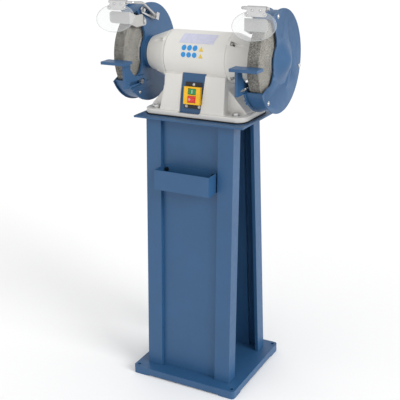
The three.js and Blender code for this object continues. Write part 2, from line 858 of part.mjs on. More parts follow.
function guardCover() {
  const { coverInside, coverFace, domeBase, domeTop, domeHeight, domeOffset, sheet } = GUARD;
  const plate = extrudeX(guardOutline(), [coverInside, coverFace]);
  const outerCone = turned([
    [coverInside, 0],
    [coverInside, domeBase],
    [coverFace, domeBase],
    [coverFace + domeHeight, domeTop],
    [coverFace + domeHeight, 0],
  ]);
  const innerCone = turned([
    [coverInside - 1, 0],
    [coverInside - 1, domeBase - sheet],
    [coverFace, domeBase - sheet],
    [coverFace + domeHeight - sheet, domeTop - sheet],
    [coverFace + domeHeight - sheet, 0],
  ]);
  const keep = extrudeX(guardOutline(), [coverInside, coverFace + domeHeight + 1]);
  const dome = outerCone.translate([0, domeOffset, 0]).intersect(keep);
  return plate.add(dome).subtract(innerCone.translate([0, domeOffset, 0]));
}

function addGuard(side, name) {
  addMesh(side, `${name}_guard_plate`, guardPlate(name), "bluePaint");
  addMesh(side, `${name}_guard_band`, guardBand(), "bluePaint");
  addMesh(side, `${name}_guard_cover`, guardCover(), "bluePaint");
}

// ---------------------------------------------------------------- tool rest

function toolRest(tableTop) {
  const { inner, outer, front, back, thickness, webOuter, webThickness, webFront } = REST;
  const { armBack, armDrop, armHeight, slotDrop, slotFront, slotBack, slotHalfWidth } = REST;
  const armTop = tableTop - armDrop;
  const armBottom = armTop - armHeight;
  const slotZ = tableTop - slotDrop;
  const table = box([inner, outer], [front, back], [tableTop - thickness, tableTop]);
  const web = outline([
    [webFront, armBottom],
    [armBack - 6, armBottom],
    [armBack, armBottom + 6],
    [armBack, armTop - 6],
    [armBack - 6, armTop],
    [-96, armTop + 2],
    [-113, armTop + 12],
    [-123, armTop + 24],
    [back + 3, tableTop - 1],
    [webFront, tableTop - 1],
  ]);
  const slot = roundEndedBar({ u: slotFront, v: slotZ }, { u: slotBack, v: slotZ }, slotHalfWidth);
  const webRange = [webOuter - webThickness, webOuter];
  const arm = extrudeX(web, webRange).subtract(extrudeX(slot, [webRange[0] - 1, webRange[1] + 1], 4));
  return table.add(arm);
}

function restBoltPlace(name) {
  return [REST.boltY, REST.tableTop[name] - REST.slotDrop];
}

function toolRestBolt(place) {
  const seat = REST.webOuter - REST.webThickness - GAP;
  return joined([
    rod([seat - 1, GUARD.plateInside + 1.5], REST.boltRadius, place),
    rod([seat - REST.boltHead, seat], REST.boltHeadRadius, place),
  ]);
}

function addToolRest(side, name) {
  addMesh(side, `${name}_tool_rest`, toolRest(REST.tableTop[name]), "bluePaint");
  addMesh(side, `${name}_tool_rest_bolt`, toolRestBolt(restBoltPlace(name)), "zinc");
}

// ---------------------------------------------------------------- spark arrestor

function sparkArrestor() {
  const { sheet, tabOuter, front, tabBack, tabBottom, tabTop, slotY, slotBottom, slotTop } = ARRESTOR;
  const { plateOuter, plateBottom, plateTop, slotHalfWidth } = ARRESTOR;
  const tabInner = tabOuter - sheet;
  const tab = extrudeX(outline([
    [front, plateBottom],
    [-74, tabBottom],
    [tabBack - 4, tabBottom],
    [tabBack, tabBottom + 4],
    [tabBack, tabTop - 17],
    [slotY - 7, tabTop],
    [-74, tabTop],
    [front, plateTop],
  ]), [tabInner, tabOuter]);
  const corner = 10;
  const plate = new THREE.Shape();
  plate.moveTo(tabInner, plateBottom);
  plate.absarc(plateOuter - corner, plateBottom + corner, corner, -Math.PI / 2, 0);
  plate.absarc(plateOuter - corner, plateTop - corner, corner, 0, Math.PI / 2);
  plate.lineTo(tabInner, plateTop);
  const slot = roundEndedBar({ u: slotY, v: slotBottom }, { u: slotY, v: slotTop }, slotHalfWidth);
  const facing = extrudeY(plate, [front - sheet, front], 6);
  return tab.add(facing).subtract(extrudeX(slot, [tabInner - 1, tabOuter + 1], 4));
}

function arrestorScrew() {
  const { tabOuter, sheet, slotY, screwZ, screwRadius } = ARRESTOR;
  const seat = tabOuter - sheet - GAP;
  const place = [slotY, screwZ];
  const shank = rod([seat - 1, GUARD.plateInside + 1], screwRadius, place);
  return shank.add(rod([seat - 3, seat], 5, place));
}

function addSparkArrestor(side, name) {
  addMesh(side, `${name}_spark_arrestor`, sparkArrestor(), "palePaint");
  addMesh(side, `${name}_spark_arrestor_screw`, arrestorScrew(), "zinc");
}

// ---------------------------------------------------------------- eye shield

function shieldLink() {
  const { linkOuter, linkThickness, pivot, block, linkHalfWidth, slotHalfWidth } = SHIELD;
  const start = { u: pivot.y, v: pivot.z };
  const end = { u: block.y, v: block.z };
  const inner = linkOuter - linkThickness;
  const bar = extrudeX(roundEndedBar(start, end, linkHalfWidth), [inner, linkOuter]);
  const slotEnd = { u: 0.55 * end.u + 0.45 * start.u, v: 0.55 * end.v + 0.45 * start.v };
  const slot = extrudeX(roundEndedBar(start, slotEnd, slotHalfWidth), [inner - 1, linkOuter + 1], 4);
  const along = Math.atan2(end.v - start.v, end.u - start.u);
  const { width, height, length } = SHIELD.blockSize;
  const lump = new THREE.BoxGeometry(width, height, length).rotateX(along);
  const head = solid(lump.translate(inner + 0.1 - width / 2, block.y, block.z));
  const passage = rodShape(SHIELD.rodRadius + GAP);
  return bar.subtract(slot).add(head).subtract(passage);
}

// The bent rod: a cross bar for the shield, an elbow, and an arm down to the link's block.
function rodShape(radius) {
  const { rodX, bar, barEnd, elbow, block, bend } = SHIELD;
  const corner = new THREE.Vector3(rodX, bar.y, bar.z);
  const knee = new THREE.Vector3(rodX, elbow.y, elbow.z);
  const foot = new THREE.Vector3(rodX, block.y, block.z);
  const outward = new THREE.Vector3(1, 0, 0);
  const toKnee = knee.clone().sub(corner).normalize();
  const toFoot = foot.clone().sub(knee).normalize();
  const from = (point, direction, distance) => point.clone().addScaledVector(direction, distance);
  const beforeCorner = from(corner, outward, bend);
  const afterCorner = from(corner, toKnee, bend);
  const beforeKnee = from(knee, toKnee, -bend);
  const afterKnee = from(knee, toFoot, bend);
  const path = new THREE.CurvePath();
  path.add(new THREE.LineCurve3(from(corner, outward, barEnd - rodX), beforeCorner));
  path.add(new THREE.QuadraticBezierCurve3(beforeCorner, corner, afterCorner));
  path.add(new THREE.LineCurve3(afterCorner, beforeKnee));
  path.add(new THREE.QuadraticBezierCurve3(beforeKnee, knee, afterKnee));
  path.add(new THREE.LineCurve3(afterKnee, from(foot, toFoot, SHIELD.blockSize.length / 2)));
  const section = new THREE.Shape();
  section.absarc(0, 0, radius, 0, 2 * Math.PI);
  const options = { steps: 24, curveSegments: 4, extrudePath: path, bevelEnabled: false };
  return solid(new THREE.ExtrudeGeometry(section, options));
}

function pivotBolt() {
  const { pivot, pivotRadius, pivotHead, pivotHeadRadius, collarRadius } = SHIELD;
  const { linkOuter, linkThickness } = SHIELD;
  const seat = linkOuter - linkThickness - GAP;
  const place = [pivot.y, pivot.z];
  return joined([
    rod([seat - 1, GUARD.plateInside], pivotRadius, place),
    rod([seat - pivotHead, seat], pivotHeadRadius, place, 6),
    rod([linkOuter + GAP, GUARD.plateFace - GAP], collarRadius, place),
  ]);
}

const barHole = SHIELD.rodRadius + GAP;

// The bracket wraps the bar and holds the shield's upper edge behind a leaning flap.
function shieldBracket() {
  const { bar, bracketHalfWidth, bracketSheet, bracketDrop, centreX } = SHIELD;
  const range = [centreX - bracketHalfWidth, centreX + bracketHalfWidth];
  const sleeve = rod(range, barHole + bracketSheet, [bar.y, bar.z], 20);
  const bore = rod([range[0] - 1, range[1] + 1], barHole, [bar.y, bar.z], 20);
  const flap = new THREE.BoxGeometry(2 * bracketHalfWidth, bracketSheet, bracketDrop);
  flap.translate(0, -barHole - bracketSheet / 2, -bracketDrop / 2);
  flap.rotateX(-SHIELD.tilt * DEGREE).translate(centreX, bar.y, bar.z);
  return sleeve.add(solid(flap)).subtract(bore);
}

function eyeShield() {
  const { bar, centreX, halfWidth, halfHeight, sheet, bracketSheet } = SHIELD;
  const oval = new THREE.Shape();
  oval.absellipse(0, 0, halfWidth, halfHeight, 0, 2 * Math.PI);
  const plate = extrusion(oval, sheet, 20).rotateX(Math.PI / 2);
  const hang = barHole + bracketSheet + GAP + halfHeight;
  plate.translate(0, sheet + GAP - barHole, -hang);
  plate.rotateX(-SHIELD.tilt * DEGREE).translate(centreX, bar.y, bar.z);
  return solid(plate);
}

function addShield(side, name) {
  addMesh(side, `${name}_shield_link`, shieldLink(), "zinc");
  addMesh(side, `${name}_shield_pivot_bolt`, pivotBolt(), "zinc");
  addMesh(side, `${name}_shield_rod`, rodShape(SHIELD.rodRadius), "steel");
  addMesh(side, `${name}_shield_bracket`, shieldBracket(), "zinc");
  addMesh(side, `${name}_eye_shield`, eyeShield(), "clearPlastic");
}

// ---------------------------------------------------------------- assembly

function addSide(name, direction) {
  const side = new THREE.Group();
  side.scale.x = direction;
  spindleLine.add(side);
  addMesh(side, `${name}_end_bell`, endBell(), "offWhitePaint");
  addMesh(side, `${name}_bearing`, bearing(), "steel");
  addMesh(side, `${name}_inner_flange`, clampFlange(WHEEL.start, -1), "zinc");
  addMesh(side, `${name}_grinding_wheel`, grindingWheel(), "abrasive");
  addMesh(side, `${name}_outer_flange`, clampFlange(WHEEL.end, 1), "zinc");
  addMesh(side, `${name}_spindle_nut`, spindleNut(), "zinc");
  addGuard(side, name);
  addToolRest(side, name);
  addSparkArrestor(side, name);
  addShield(side, name);
}

addStand();
addPedestal();
addSwitch();
addMotor();
addSide("left", -1);
addSide("right", 1);

export default grinder;
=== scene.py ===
"""Pedestal bench grinder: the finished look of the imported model, in metres and in the model's own frame."""
import json
import math

import bmesh
import bpy
from mathutils import Matrix, Vector, noise


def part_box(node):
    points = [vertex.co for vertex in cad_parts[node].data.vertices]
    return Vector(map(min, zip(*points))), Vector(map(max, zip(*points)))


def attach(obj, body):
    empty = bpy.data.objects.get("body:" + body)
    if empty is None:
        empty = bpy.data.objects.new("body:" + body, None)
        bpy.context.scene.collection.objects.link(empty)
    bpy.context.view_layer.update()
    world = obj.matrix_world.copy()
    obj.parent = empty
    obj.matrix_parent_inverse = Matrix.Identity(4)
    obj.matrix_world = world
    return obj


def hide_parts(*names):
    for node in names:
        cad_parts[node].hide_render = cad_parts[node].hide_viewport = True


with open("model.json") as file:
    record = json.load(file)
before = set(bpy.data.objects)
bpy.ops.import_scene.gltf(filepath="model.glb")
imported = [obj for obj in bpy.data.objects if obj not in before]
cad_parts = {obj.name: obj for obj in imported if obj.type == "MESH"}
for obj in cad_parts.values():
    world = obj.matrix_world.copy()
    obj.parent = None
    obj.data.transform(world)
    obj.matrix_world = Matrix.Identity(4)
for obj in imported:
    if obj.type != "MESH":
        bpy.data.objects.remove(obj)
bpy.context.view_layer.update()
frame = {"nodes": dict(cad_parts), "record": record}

MM = 0.001
NODES = frame["nodes"]
SIDES = {"left": -1, "right": 1}

# ---------------------------------------------------------------- places taken from the frame


def centre(node):
    low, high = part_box(node)
    return (Vector(low) + Vector(high)) / 2


def span(node, axis):
    """Lowest and highest value of a node along one axis, in millimetres."""
    low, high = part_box(node)
    return low[axis] / MM, high[axis] / MM


X, Y, Z = 0, 1, 2
SPINDLE = centre("shaft") / MM
MOTOR_RADIUS = 68.4
FLANGE_TOP = span("mounting_bolt_front_left", Z)[0]

# The grinder's casting, in millimetres about the spindle's plane.
CASTING = {
    "bottom": span("motor_housing", Z)[0],
    "flange": 14,
    "corner": 30,
    "half_width": span("motor_housing", X)[1],
    "half_depth": 84.7,
    "core_half_width": 94.5,
    "core_foot": (-108, 95),
    "core_waist": 882,
    "core_top": 912,
    "core_top_half_depth": 61.9,
    "core_foot_half_depth": 79.7,
    "wing_top": 878,
    "wing_foot": (148, 817),
    "wing_half_depth": 46.7,
    "bore": 60,
    "wall": 8,
}
BELL = {
    "start": 94.8, "end": 162, "rim": 47.8, "wall": 6,
    "shaft_hole": 17, "seat": 31.3, "seat_start": 137,
}
BELL_SCREW = {
    "circle": 61.5, "pocket": 6.5, "seat": 103, "pocket_end": 150, "head": 4.6, "head_height": 5,
}
WHEEL = {"radius": 125, "start": 186.5, "end": 218.5, "bore": 12.8, "blotter": 52, "flange": 49.4}
GUARD_FACES = {"plate": (174, 180), "cover": (225, 228)}
DOME = {"centre": 12, "foot": 62, "height": 23, "sheet": 3}

# ---------------------------------------------------------------- mesh tools


def new_object(name, mesh):
    made = bpy.data.objects.new(name, mesh)
    bpy.context.scene.collection.objects.link(made)
    return made


def mesh_object(name, vertices, faces):
    """A mesh object from millimetre vertices in the row's frame."""
    mesh = bpy.data.meshes.new(name)
    mesh.from_pydata([Vector(v) * MM for v in vertices], [], faces)
    mesh.validate()
    made = new_object(name, mesh)
    make_normals_outward(made)
    return made


def make_normals_outward(obj):
    work = bmesh.new()
    work.from_mesh(obj.data)
    bmesh.ops.recalc_face_normals(work, faces=work.faces)
    work.to_mesh(obj.data)
    work.free()


def bake(obj):
    """Turns the object's modifiers into its own mesh."""
    depsgraph = bpy.context.evaluated_depsgraph_get()
    mesh = bpy.data.meshes.new_from_object(obj.evaluated_get(depsgraph))
    obj.modifiers.clear()
    obj.data = mesh
    return obj


def merge(name, parts):
    """One object holding all the parts' meshes."""
    work = bmesh.new()
    for part in parts:
        work.from_mesh(part.data)
        bpy.data.objects.remove(part)
    mesh = bpy.data.meshes.new(name)
    work.to_mesh(mesh)
    work.free()
    return new_object(name, mesh)


def combine(body, tools, operation):
    """A boolean of the body with each tool, which is used up."""
    for tool in tools:
        modifier = body.modifiers.new("boolean", "BOOLEAN")
        modifier.operation = operation
        modifier.solver = "MANIFOLD"
        modifier.object = tool
        bake(body)
        bpy.data.objects.remove(tool)
    return body


def soft_cast(body, voxel, rounds):
    """Melts overlapping solids into one skin with soft fillets, as a casting has."""
    remesh = body.modifiers.new("remesh", "REMESH")
    remesh.mode = "VOXEL"
    remesh.voxel_size = voxel * MM
    smooth = body.modifiers.new("smooth", "SMOOTH")
    smooth.factor = 0.5
    smooth.iterations = rounds
    return bake(body)


def shade(obj, degrees=35):
    obj.data.shade_smooth()
    obj.data.set_sharp_from_angle(angle=math.radians(degrees))
    return obj


def round_edges(obj, width, segments=2, degrees=30, flat=0.6):
    """Small rounded edges, and shading that keeps the flats flat. Faces within flat degrees join up."""
    flats = obj.modifiers.new("flats", "DECIMATE")
    flats.decimate_type = "DISSOLVE"
    flats.angle_limit = math.radians(flat)
    bevel = obj.modifiers.new("bevel", "BEVEL")
    bevel.width = width * MM
    bevel.segments = segments
    bevel.limit_method = "ANGLE"
    bevel.angle_limit = math.radians(degrees)
    obj.data.shade_smooth()
    normals = obj.modifiers.new("normals", "WEIGHTED_NORMAL")
    normals.keep_sharp = False
    return obj


def prism(name, outline, low, high, axis):
    """Extrudes a closed outline along an axis. The outline is in the other two axes, in order."""
    count = len(outline)

    def corner(point, along):
        values = list(point)
        values.insert(axis, along)
        return values

    vertices = [corner(p, low) for p in outline] + [corner(p, high) for p in outline]
    sides = [(i, (i + 1) % count, count + (i + 1) % count, count + i) for i in range(count)]
    caps = [tuple(range(count)), tuple(range(count, 2 * count))]
    return mesh_object(name, vertices, sides + caps)


def block(name, low, high):
    outline = [(low[0], low[1]), (high[0], low[1]), (high[0], high[1]), (low[0], high[1])]
    return prism(name, outline, low[2], high[2], Z)


def revolve(name, profile, segments, axis_point=(0, 0), closed=True):
    """Turns (x, radius) points about a line along X through axis_point in (y, z)."""
    rings = len(profile)
    vertices = []
    for step in range(segments):
        angle = 2 * math.pi * step / segments
        for x, radius in profile:
            y = axis_point[0] + radius * math.cos(angle)
            z = axis_point[1] + radius * math.sin(angle)
            vertices.append((x, y, z))
    faces = []
    for step in range(segments):
        here = step * rings
        there = (step + 1) % segments * rings
        for ring in range(rings if closed else rings - 1):
            after = (ring + 1) % rings
            faces.append((here + ring, here + after, there + after, there + ring))
    made = mesh_object(name, vertices, faces)
    weld(made)
    return made


def weld(obj):
    work = bmesh.new()
    work.from_mesh(obj.data)
    bmesh.ops.remove_doubles(work, verts=work.verts, dist=0.00001)
    bmesh.ops.dissolve_degenerate(work, edges=work.edges, dist=0.00001)
    bmesh.ops.recalc_face_normals(work, faces=work.faces)
    work.to_mesh(obj.data)
    work.free()


def rod(name, start, end, radius, segments=32, rounding=0.0):
    """A round bar between two points, with its ends rounded off."""
    start = Vector(start)
    direction = Vector(end) - start
    length = direction.length
    steps = [(0, radius - rounding), (rounding, radius)]
    steps += [(length - rounding, radius), (length, radius - rounding)]
    profile = [(0, 0)] + (steps if rounding else [(0, radius), (length, radius)]) + [(length, 0)]
    made = revolve(name, profile, segments, closed=False)
    turn = Vector((1, 0, 0)).rotation_difference(direction).to_matrix().to_4x4()
    made.data.transform(Matrix.Translation(start * MM) @ turn)
    return made


def tube(name, path, radius, segments=20):
    """A round tube along a path of points, with flat ends."""
    points = [Vector(p) for p in path]
    vertices = []
    side = None
    for i, point in enumerate(points):
        ahead = points[min(i + 1, len(points) - 1)] - points[max(i - 1, 0)]
        ahead.normalize()
        side = ahead.orthogonal() if side is None else side - ahead * side.dot(ahead)
        side.normalize()
        up = ahead.cross(side)
        for step in range(segments):
            angle = 2 * math.pi * step / segments
            vertices.append(point + radius * (math.cos(angle) * side + math.sin(angle) * up))
    faces = []
    for i in range(len(points) - 1):
        for step in range(segments):
            after = (step + 1) % segments
            low = i * segments
            faces.append((low + step, low + after, low + segments + after, low + segments + step))
    last = (len(points) - 1) * segments
    faces += [tuple(range(segments)), tuple(range(last, last + segments))]
    return mesh_object(name, vertices, faces)


def arc(centre_point, radius, start, end, steps):
    """Points of an arc, its angles in degrees."""
    u, v = centre_point
    angles = [math.radians(start + (end - start) * i / steps) for i in range(steps + 1)]
    return [(u + radius * math.cos(a), v + radius * math.sin(a)) for a in angles]


def rounded_rectangle(low, high, radius, steps=6):
    corners = [
        ((high[0] - radius, low[1] + radius), -90),
        ((high[0] - radius, high[1] - radius), 0),
        ((low[0] + radius, high[1] - radius), 90),
        ((low[0] + radius, low[1] + radius), 180),
    ]
    return [p for point, start in corners for p in arc(point, radius, start, start + 90, steps)]


def bend(before, corner, after, steps=8):
    """Points of a smooth bend round a corner of a rod."""
    a, b, c = Vector(before), Vector(corner), Vector(after)
    fractions = [i / steps for i in range(steps + 1)]
    return [a * (1 - t) ** 2 + 2 * b * t * (1 - t) + c * t * t for t in fractions]


def cad_copy(name, node):
    """A copy of a CAD node's mesh, welded so that booleans can cut it."""
    made = new_object(name, NODES[node].data.copy())
    weld(made)
    return made


def to_side(obj, direction):
    """Moves a piece made about the spindle, with x outward, to its own side of the grinder."""
    place = Matrix.Translation(Vector((0, SPINDLE.y, SPINDLE.z)) * MM)
    obj.data.transform(place @ Matrix.Diagonal((direction, 1, 1, 1)))
    if direction < 0:
        obj.data.flip_normals()
    return obj


def add_piece(obj, body, material, replaced=()):
    """Gives a finished piece its body and its material, and hides the CAD nodes that it replaces."""
    obj.data.materials.clear()
    obj.data.materials.append(material)
    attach(obj, body)
    if replaced:
        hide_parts(*replaced)
    return obj


# ---------------------------------------------------------------- materials


class Look:
    """A material and the few node chains that the finishes share."""

    def __init__(self, name, roughness, metallic=0.0, **values):
        self.material = bpy.data.materials.new(name)
        self.material.use_nodes = True
        self.tree = self.material.node_tree
        self.shader = self.tree.nodes["Principled BSDF"]
        self.coordinates = self.tree.nodes.new("ShaderNodeTexCoord").outputs["Object"]
        self.set("Roughness", roughness)
        self.set("Metallic", metallic)
        for label, value in values.items():
            self.set(label.replace("_", " ").title().replace("Ior", "IOR"), value)

    def set(self, label, value):
        self.shader.inputs[label].default_value = value

    def link(self, source, target):
        self.tree.links.new(source, target)

    def noise(self, scale, detail=4.0, stretch=(1, 1, 1), roughness=0.6):
        """Fractal noise in metres, stretched along the axes."""
        mapping = self.tree.nodes.new("ShaderNodeMapping")
        mapping.inputs["Scale"].default_value = stretch
        self.link(self.coordinates, mapping.inputs["Vector"])
        texture = self.tree.nodes.new("ShaderNodeTexNoise")
        texture.inputs["Scale"].default_value = scale
        texture.inputs["Detail"].default_value = detail
        texture.inputs["Roughness"].default_value = roughness
        self.link(mapping.outputs["Vector"], texture.inputs["Vector"])
        return texture.outputs["Fac"]

    def cells(self, scale):
        texture = self.tree.nodes.new("ShaderNodeTexVoronoi")
        texture.inputs["Scale"].default_value = scale
        self.link(self.coordinates, texture.inputs["Vector"])
        return texture.outputs["Distance"]

    def ramp(self, factor, stops):
        """Colours or greys at places along a factor."""
        made = self.tree.nodes.new("ShaderNodeValToRGB")
        elements = made.color_ramp.elements
        while len(elements) < len(stops):
            elements.new(0.5)
        for element, (place, value) in zip(elements, stops):
            element.position = place
            element.color = (*value, 1) if isinstance(value, tuple) else (value, value, value, 1)
        self.link(factor, made.inputs["Fac"])
        return made.outputs["Color"]

    def mix(self, factor, first, second, blend="MIX"):
        made = self.tree.nodes.new("ShaderNodeMix")
        made.data_type = "RGBA"
        made.blend_type = blend
        for label, value in (("Factor", factor), ("A", first), ("B", second)):
            socket = next(s for s in made.inputs if s.name == label and s.type != "VECTOR" and s.enabled)
            if isinstance(value, (int, float)):
                socket.default_value = value
            elif isinstance(value, tuple):
                socket.default_value = (*value, 1)
            else:
                self.link(value, socket)
        return next(s for s in made.outputs if s.enabled)

    def colour(self, source):
        self.link(source, self.shader.inputs["Base Color"])

    def rough(self, source):
        self.link(source, self.shader.inputs["Roughness"])

    def bump(self, height, strength, distance):
        made = self.tree.nodes.new("ShaderNodeBump")
        made.inputs["Strength"].default_value = strength
        made.inputs["Distance"].default_value = distance * MM
        previous = self.shader.inputs["Normal"].links
        if previous:
            self.link(previous[0].from_socket, made.inputs["Normal"])
        self.link(height, made.inputs["Height"])
        self.link(made.outputs["Normal"], self.shader.inputs["Normal"])


def tint(colour, factor):
    return tuple(min(1.0, channel * factor) for channel in colour)


def paint(name, colour, roughness, peel, mottle=0.06):
    """Sprayed or powder paint: a little uneven in colour and gloss, with orange peel."""
    look = Look(name, roughness, ior=1.5)
    patches = look.noise(9, 5)
    look.colour(look.ramp(patches, [(0.3, tint(colour, 1 - mottle)), (0.7, tint(colour, 1 + mottle))]))
    look.rough(look.ramp(look.noise(60, 3), [(0.3, roughness - 0.05), (0.7, roughness + 0.07)]))
    look.bump(look.noise(420, 3), 0.25, peel)
    return look.material


def plated(name, colour, roughness, scratch=(1, 1, 1)):
    """Plated or turned metal, with fine streaks."""
    look = Look(name, roughness, 1.0)
    streaks = look.noise(90, 4, scratch)
    look.colour(look.ramp(streaks, [(0.3, tint(colour, 0.93)), (0.7, tint(colour, 1.06))]))
    look.rough(look.ramp(streaks, [(0.3, roughness - 0.05), (0.7, roughness + 0.08)]))
    look.bump(streaks, 0.08, 0.03)
    return look.material


def plastic(name, colour, roughness, grain=0.04):
    """Moulded plastic with a fine spark-eroded grain."""
    look = Look(name, roughness, ior=1.46)
    look.colour(look.ramp(look.noise(70, 3), [(0.3, tint(colour, 0.93)), (0.7, tint(colour, 1.05))]))
    look.bump(look.noise(1400, 2), 0.3, grain)
    return look.material


PALE_GRIT = (0.31, 0.30, 0.27)
DARK_GRIT = (0.075, 0.072, 0.066)


def abrasive(name, tone):
    """Bonded grit: light and dark grains with open pores, a little uneven in patches."""
    look = Look(name, 0.95, specular_ior_level=0.2)
    grains = look.ramp(look.cells(330), [(0.05, tint(PALE_GRIT, tone)), (0.55, tint(DARK_GRIT, tone))])
    fine = look.noise(380, 5, roughness=0.85)
    speckle = look.mix(look.ramp(fine, [(0.47, 0.0), (0.58, 1.0)]), grains, tint(PALE_GRIT, tone))
    patches = look.ramp(look.noise(30, 3), [(0.35, 0.86), (0.65, 1.12)])
    look.colour(look.mix(1.0, speckle, patches, "MULTIPLY"))
    look.bump(look.cells(330), 0.8, 0.6)
    look.bump(fine, 0.6, 0.3)
    return look.material


def rubber():
    look = Look("gasket_rubber", 0.75)
    look.colour(look.ramp(look.noise(90, 4), [(0.3, (0.008, 0.008, 0.009)), (0.7, (0.02, 0.02, 0.021))]))
    look.bump(look.noise(700, 3), 0.4, 0.08)
    return look.material


def laminations():
    look = Look("core_laminations", 0.5, 0.8)
    sheets = look.noise(900, 2, (1, 0.001, 0.001))
    look.colour(look.ramp(sheets, [(0.4, (0.07, 0.07, 0.075)), (0.6, (0.19, 0.19, 0.2))]))
    look.bump(sheets, 0.5, 0.2)
    return look.material


def clear(name, alpha, colour):
    look = Look(name, 0.08, ior=1.49, alpha=alpha)
    look.colour(look.ramp(look.noise(30, 3), [(0.3, tint(colour, 0.97)), (0.7, colour)]))
    look.rough(look.ramp(look.noise(160, 4), [(0.4, 0.05), (0.7, 0.13)]))
    return look.material


def card(name, colour):
    """Printed card or foil, faintly uneven."""
    look = Look(name, 0.4)
    look.colour(look.ramp(look.noise(120, 3), [(0.3, tint(colour, 0.94)), (0.7, tint(colour, 1.05))]))
    look.bump(look.noise(600, 2), 0.1, 0.03)
    return look.material


BLUE = (0.024, 0.090, 0.205)
MATERIALS = {
    "blue_paint": paint("blue_powder_coat", BLUE, 0.40, 0.06),
    "off_white_paint": paint("off_white_casting_paint", (0.70, 0.685, 0.65), 0.34, 0.09, 0.02),
    "pale_paint": paint("pale_sheet_paint", (0.44, 0.435, 0.42), 0.42, 0.05, 0.03),
    "zinc": plated("zinc_plate", (0.60, 0.60, 0.60), 0.22),
    "steel": plated("turned_steel", (0.60, 0.60, 0.61), 0.24, (0.2, 6, 6)),
    "black_steel": plated("blackened_steel", (0.06, 0.06, 0.062), 0.42),
    "laminations": laminations(),
    "abrasive": abrasive("bonded_grit", 1.0),
    "rubber": rubber(),
    "black_plastic": plastic("black_plastic", (0.018, 0.015, 0.014), 0.42),
    "yellow_plastic": plastic("yellow_plastic", (0.90, 0.50, 0.012), 0.36),
    "green_plastic": plastic("green_plastic", (0.02, 0.27, 0.075), 0.3),
    "red_plastic": plastic("red_plastic", (0.74, 0.05, 0.035), 0.3),
    "clear_plastic": clear("clear_sheet", 0.17, (0.80, 0.82, 0.83)),
}
# A lighter copy of the grit for the wheels' flat sides: painted light, standing in for the light that falls
# on the sides.
WHEEL_SIDE_PAINTED_LIGHT = abrasive("bonded_grit_side_painted_light", 1.35)
CLEAR_EDGE = clear("clear_sheet_edge", 0.55, (0.50, 0.54, 0.55))
PALE_MARK = plastic("pale_mark", (0.82, 0.84, 0.80), 0.4)
BLOTTER = card("wheel_blotter", (0.42, 0.41, 0.38))
PLATE_FOIL = card("rating_plate_foil", (0.56, 0.57, 0.70))
DISC_BLUE = card("disc_blue", (0.02, 0.26, 0.62))
WEDGE_YELLOW = card("triangle_yellow", (0.72, 0.50, 0.06))

# ---------------------------------------------------------------- CAD pieces that stay


SLOTS = {row["node"]: row["material_slot"] for row in frame["record"]["subparts"]}
EDGE_WIDTHS = {
    "base_plate": 2.5, "front_panel": 1.0, "rear_panel": 1.0, "top_plate": 0.9, "tool_tray": 0.6,
    "tray_screw_left": 0.6, "tray_screw_right": 0.6, "base_gasket": 0.6, "cable_gland": 0.8,
    "mounting_bolt_front_left": 0.7, "mounting_bolt_front_right": 0.7, "mounting_bolt_rear_left": 0.7,
    "mounting_bolt_rear_right": 0.7, "switch_panel": 0.4, "switch_back_plate": 0.5, "switch_frame": 1.2,
    "stator_core": 0.5, "rotor_core": 0.5, "shaft": 0.5,
}
SIDE_EDGE_WIDTHS = {
    "bearing": 0.6, "inner_flange": 0.5, "outer_flange": 0.5, "spindle_nut": 1.2, "guard_band": 0.7,
    "tool_rest": 1.6, "tool_rest_bolt": 0.8, "spark_arrestor_screw": 0.5,
    "shield_link": 0.7, "shield_pivot_bolt": 0.5,
}


def finish_cad_nodes():
    widths = dict(EDGE_WIDTHS)
    for side in SIDES:
        widths.update({f"{side}_{part}": width for part, width in SIDE_EDGE_WIDTHS.items()})
    for name, node in NODES.items():
        node.data.materials.clear()
        node.data.materials.append(MATERIALS[SLOTS[name]])
        if name in widths:
            round_edges(node, widths[name])


# ---------------------------------------------------------------- grinder casting


def core_ring(inset, z):
    """The core's four corners at a height: flared below its waist, and narrower towards the top."""
    c = CASTING
    flare = min((z - c["bottom"]) / (c["core_waist"] - c["bottom"]), 1)
    lean = (z - c["bottom"]) / (c["core_top"] - c["bottom"])
    left = c["core_foot"][0] * (1 - flare) - c["core_half_width"] * flare + inset
    right = c["core_foot"][1] * (1 - flare) + c["core_half_width"] * flare - inset
    half = c["core_foot_half_depth"] * (1 - lean) + c["core_top_half_depth"] * lean - inset
    front, back = SPINDLE.y - half, SPINDLE.y + half
    return [(left, front, z), (right, front, z), (right, back, z), (left, back, z)]


CORE_DEPTH_CHANGE = CASTING["core_foot_half_depth"] - CASTING["core_top_half_depth"]
SWITCH_LEAN = math.atan2(CORE_DEPTH_CHANGE, CASTING["core_top"] - CASTING["bottom"])
SWITCH_OUT = Vector((0, -math.cos(SWITCH_LEAN), math.sin(SWITCH_LEAN)))
SWITCH_UP = Vector((0, math.sin(SWITCH_LEAN), math.cos(SWITCH_LEAN)))
SWITCH_Z = 857
SWITCH_Y = core_ring(0, SWITCH_Z)[0][1]
SWITCH_ORIGIN = Vector((0, SWITCH_Y, SWITCH_Z))


def core(name, inset, heights):
    rings = [core_ring(inset, z) for z in heights]
    vertices = [corner for ring in rings for corner in ring]
    faces = [(0, 1, 2, 3), tuple(len(vertices) - 4 + i for i in range(4))]
    for ring in range(len(rings) - 1):
        low, high = 4 * ring, 4 * ring + 4
        faces += [(low + i, low + (i + 1) % 4, high + (i + 1) % 4, high + i) for i in range(4)]
    return mesh_object(name, vertices, faces)


def wing_outline(inset, bottom):
    foot_x, foot_z = CASTING["wing_foot"]
    top_x, top_z = CASTING["core_half_width"], CASTING["wing_top"]
    right = [
        (foot_x - inset, bottom),
        (foot_x - inset, foot_z - inset),
        (top_x - inset / 2, top_z - inset),
    ]
    left = [(-x, z) for x, z in reversed(right)]
    return right + left


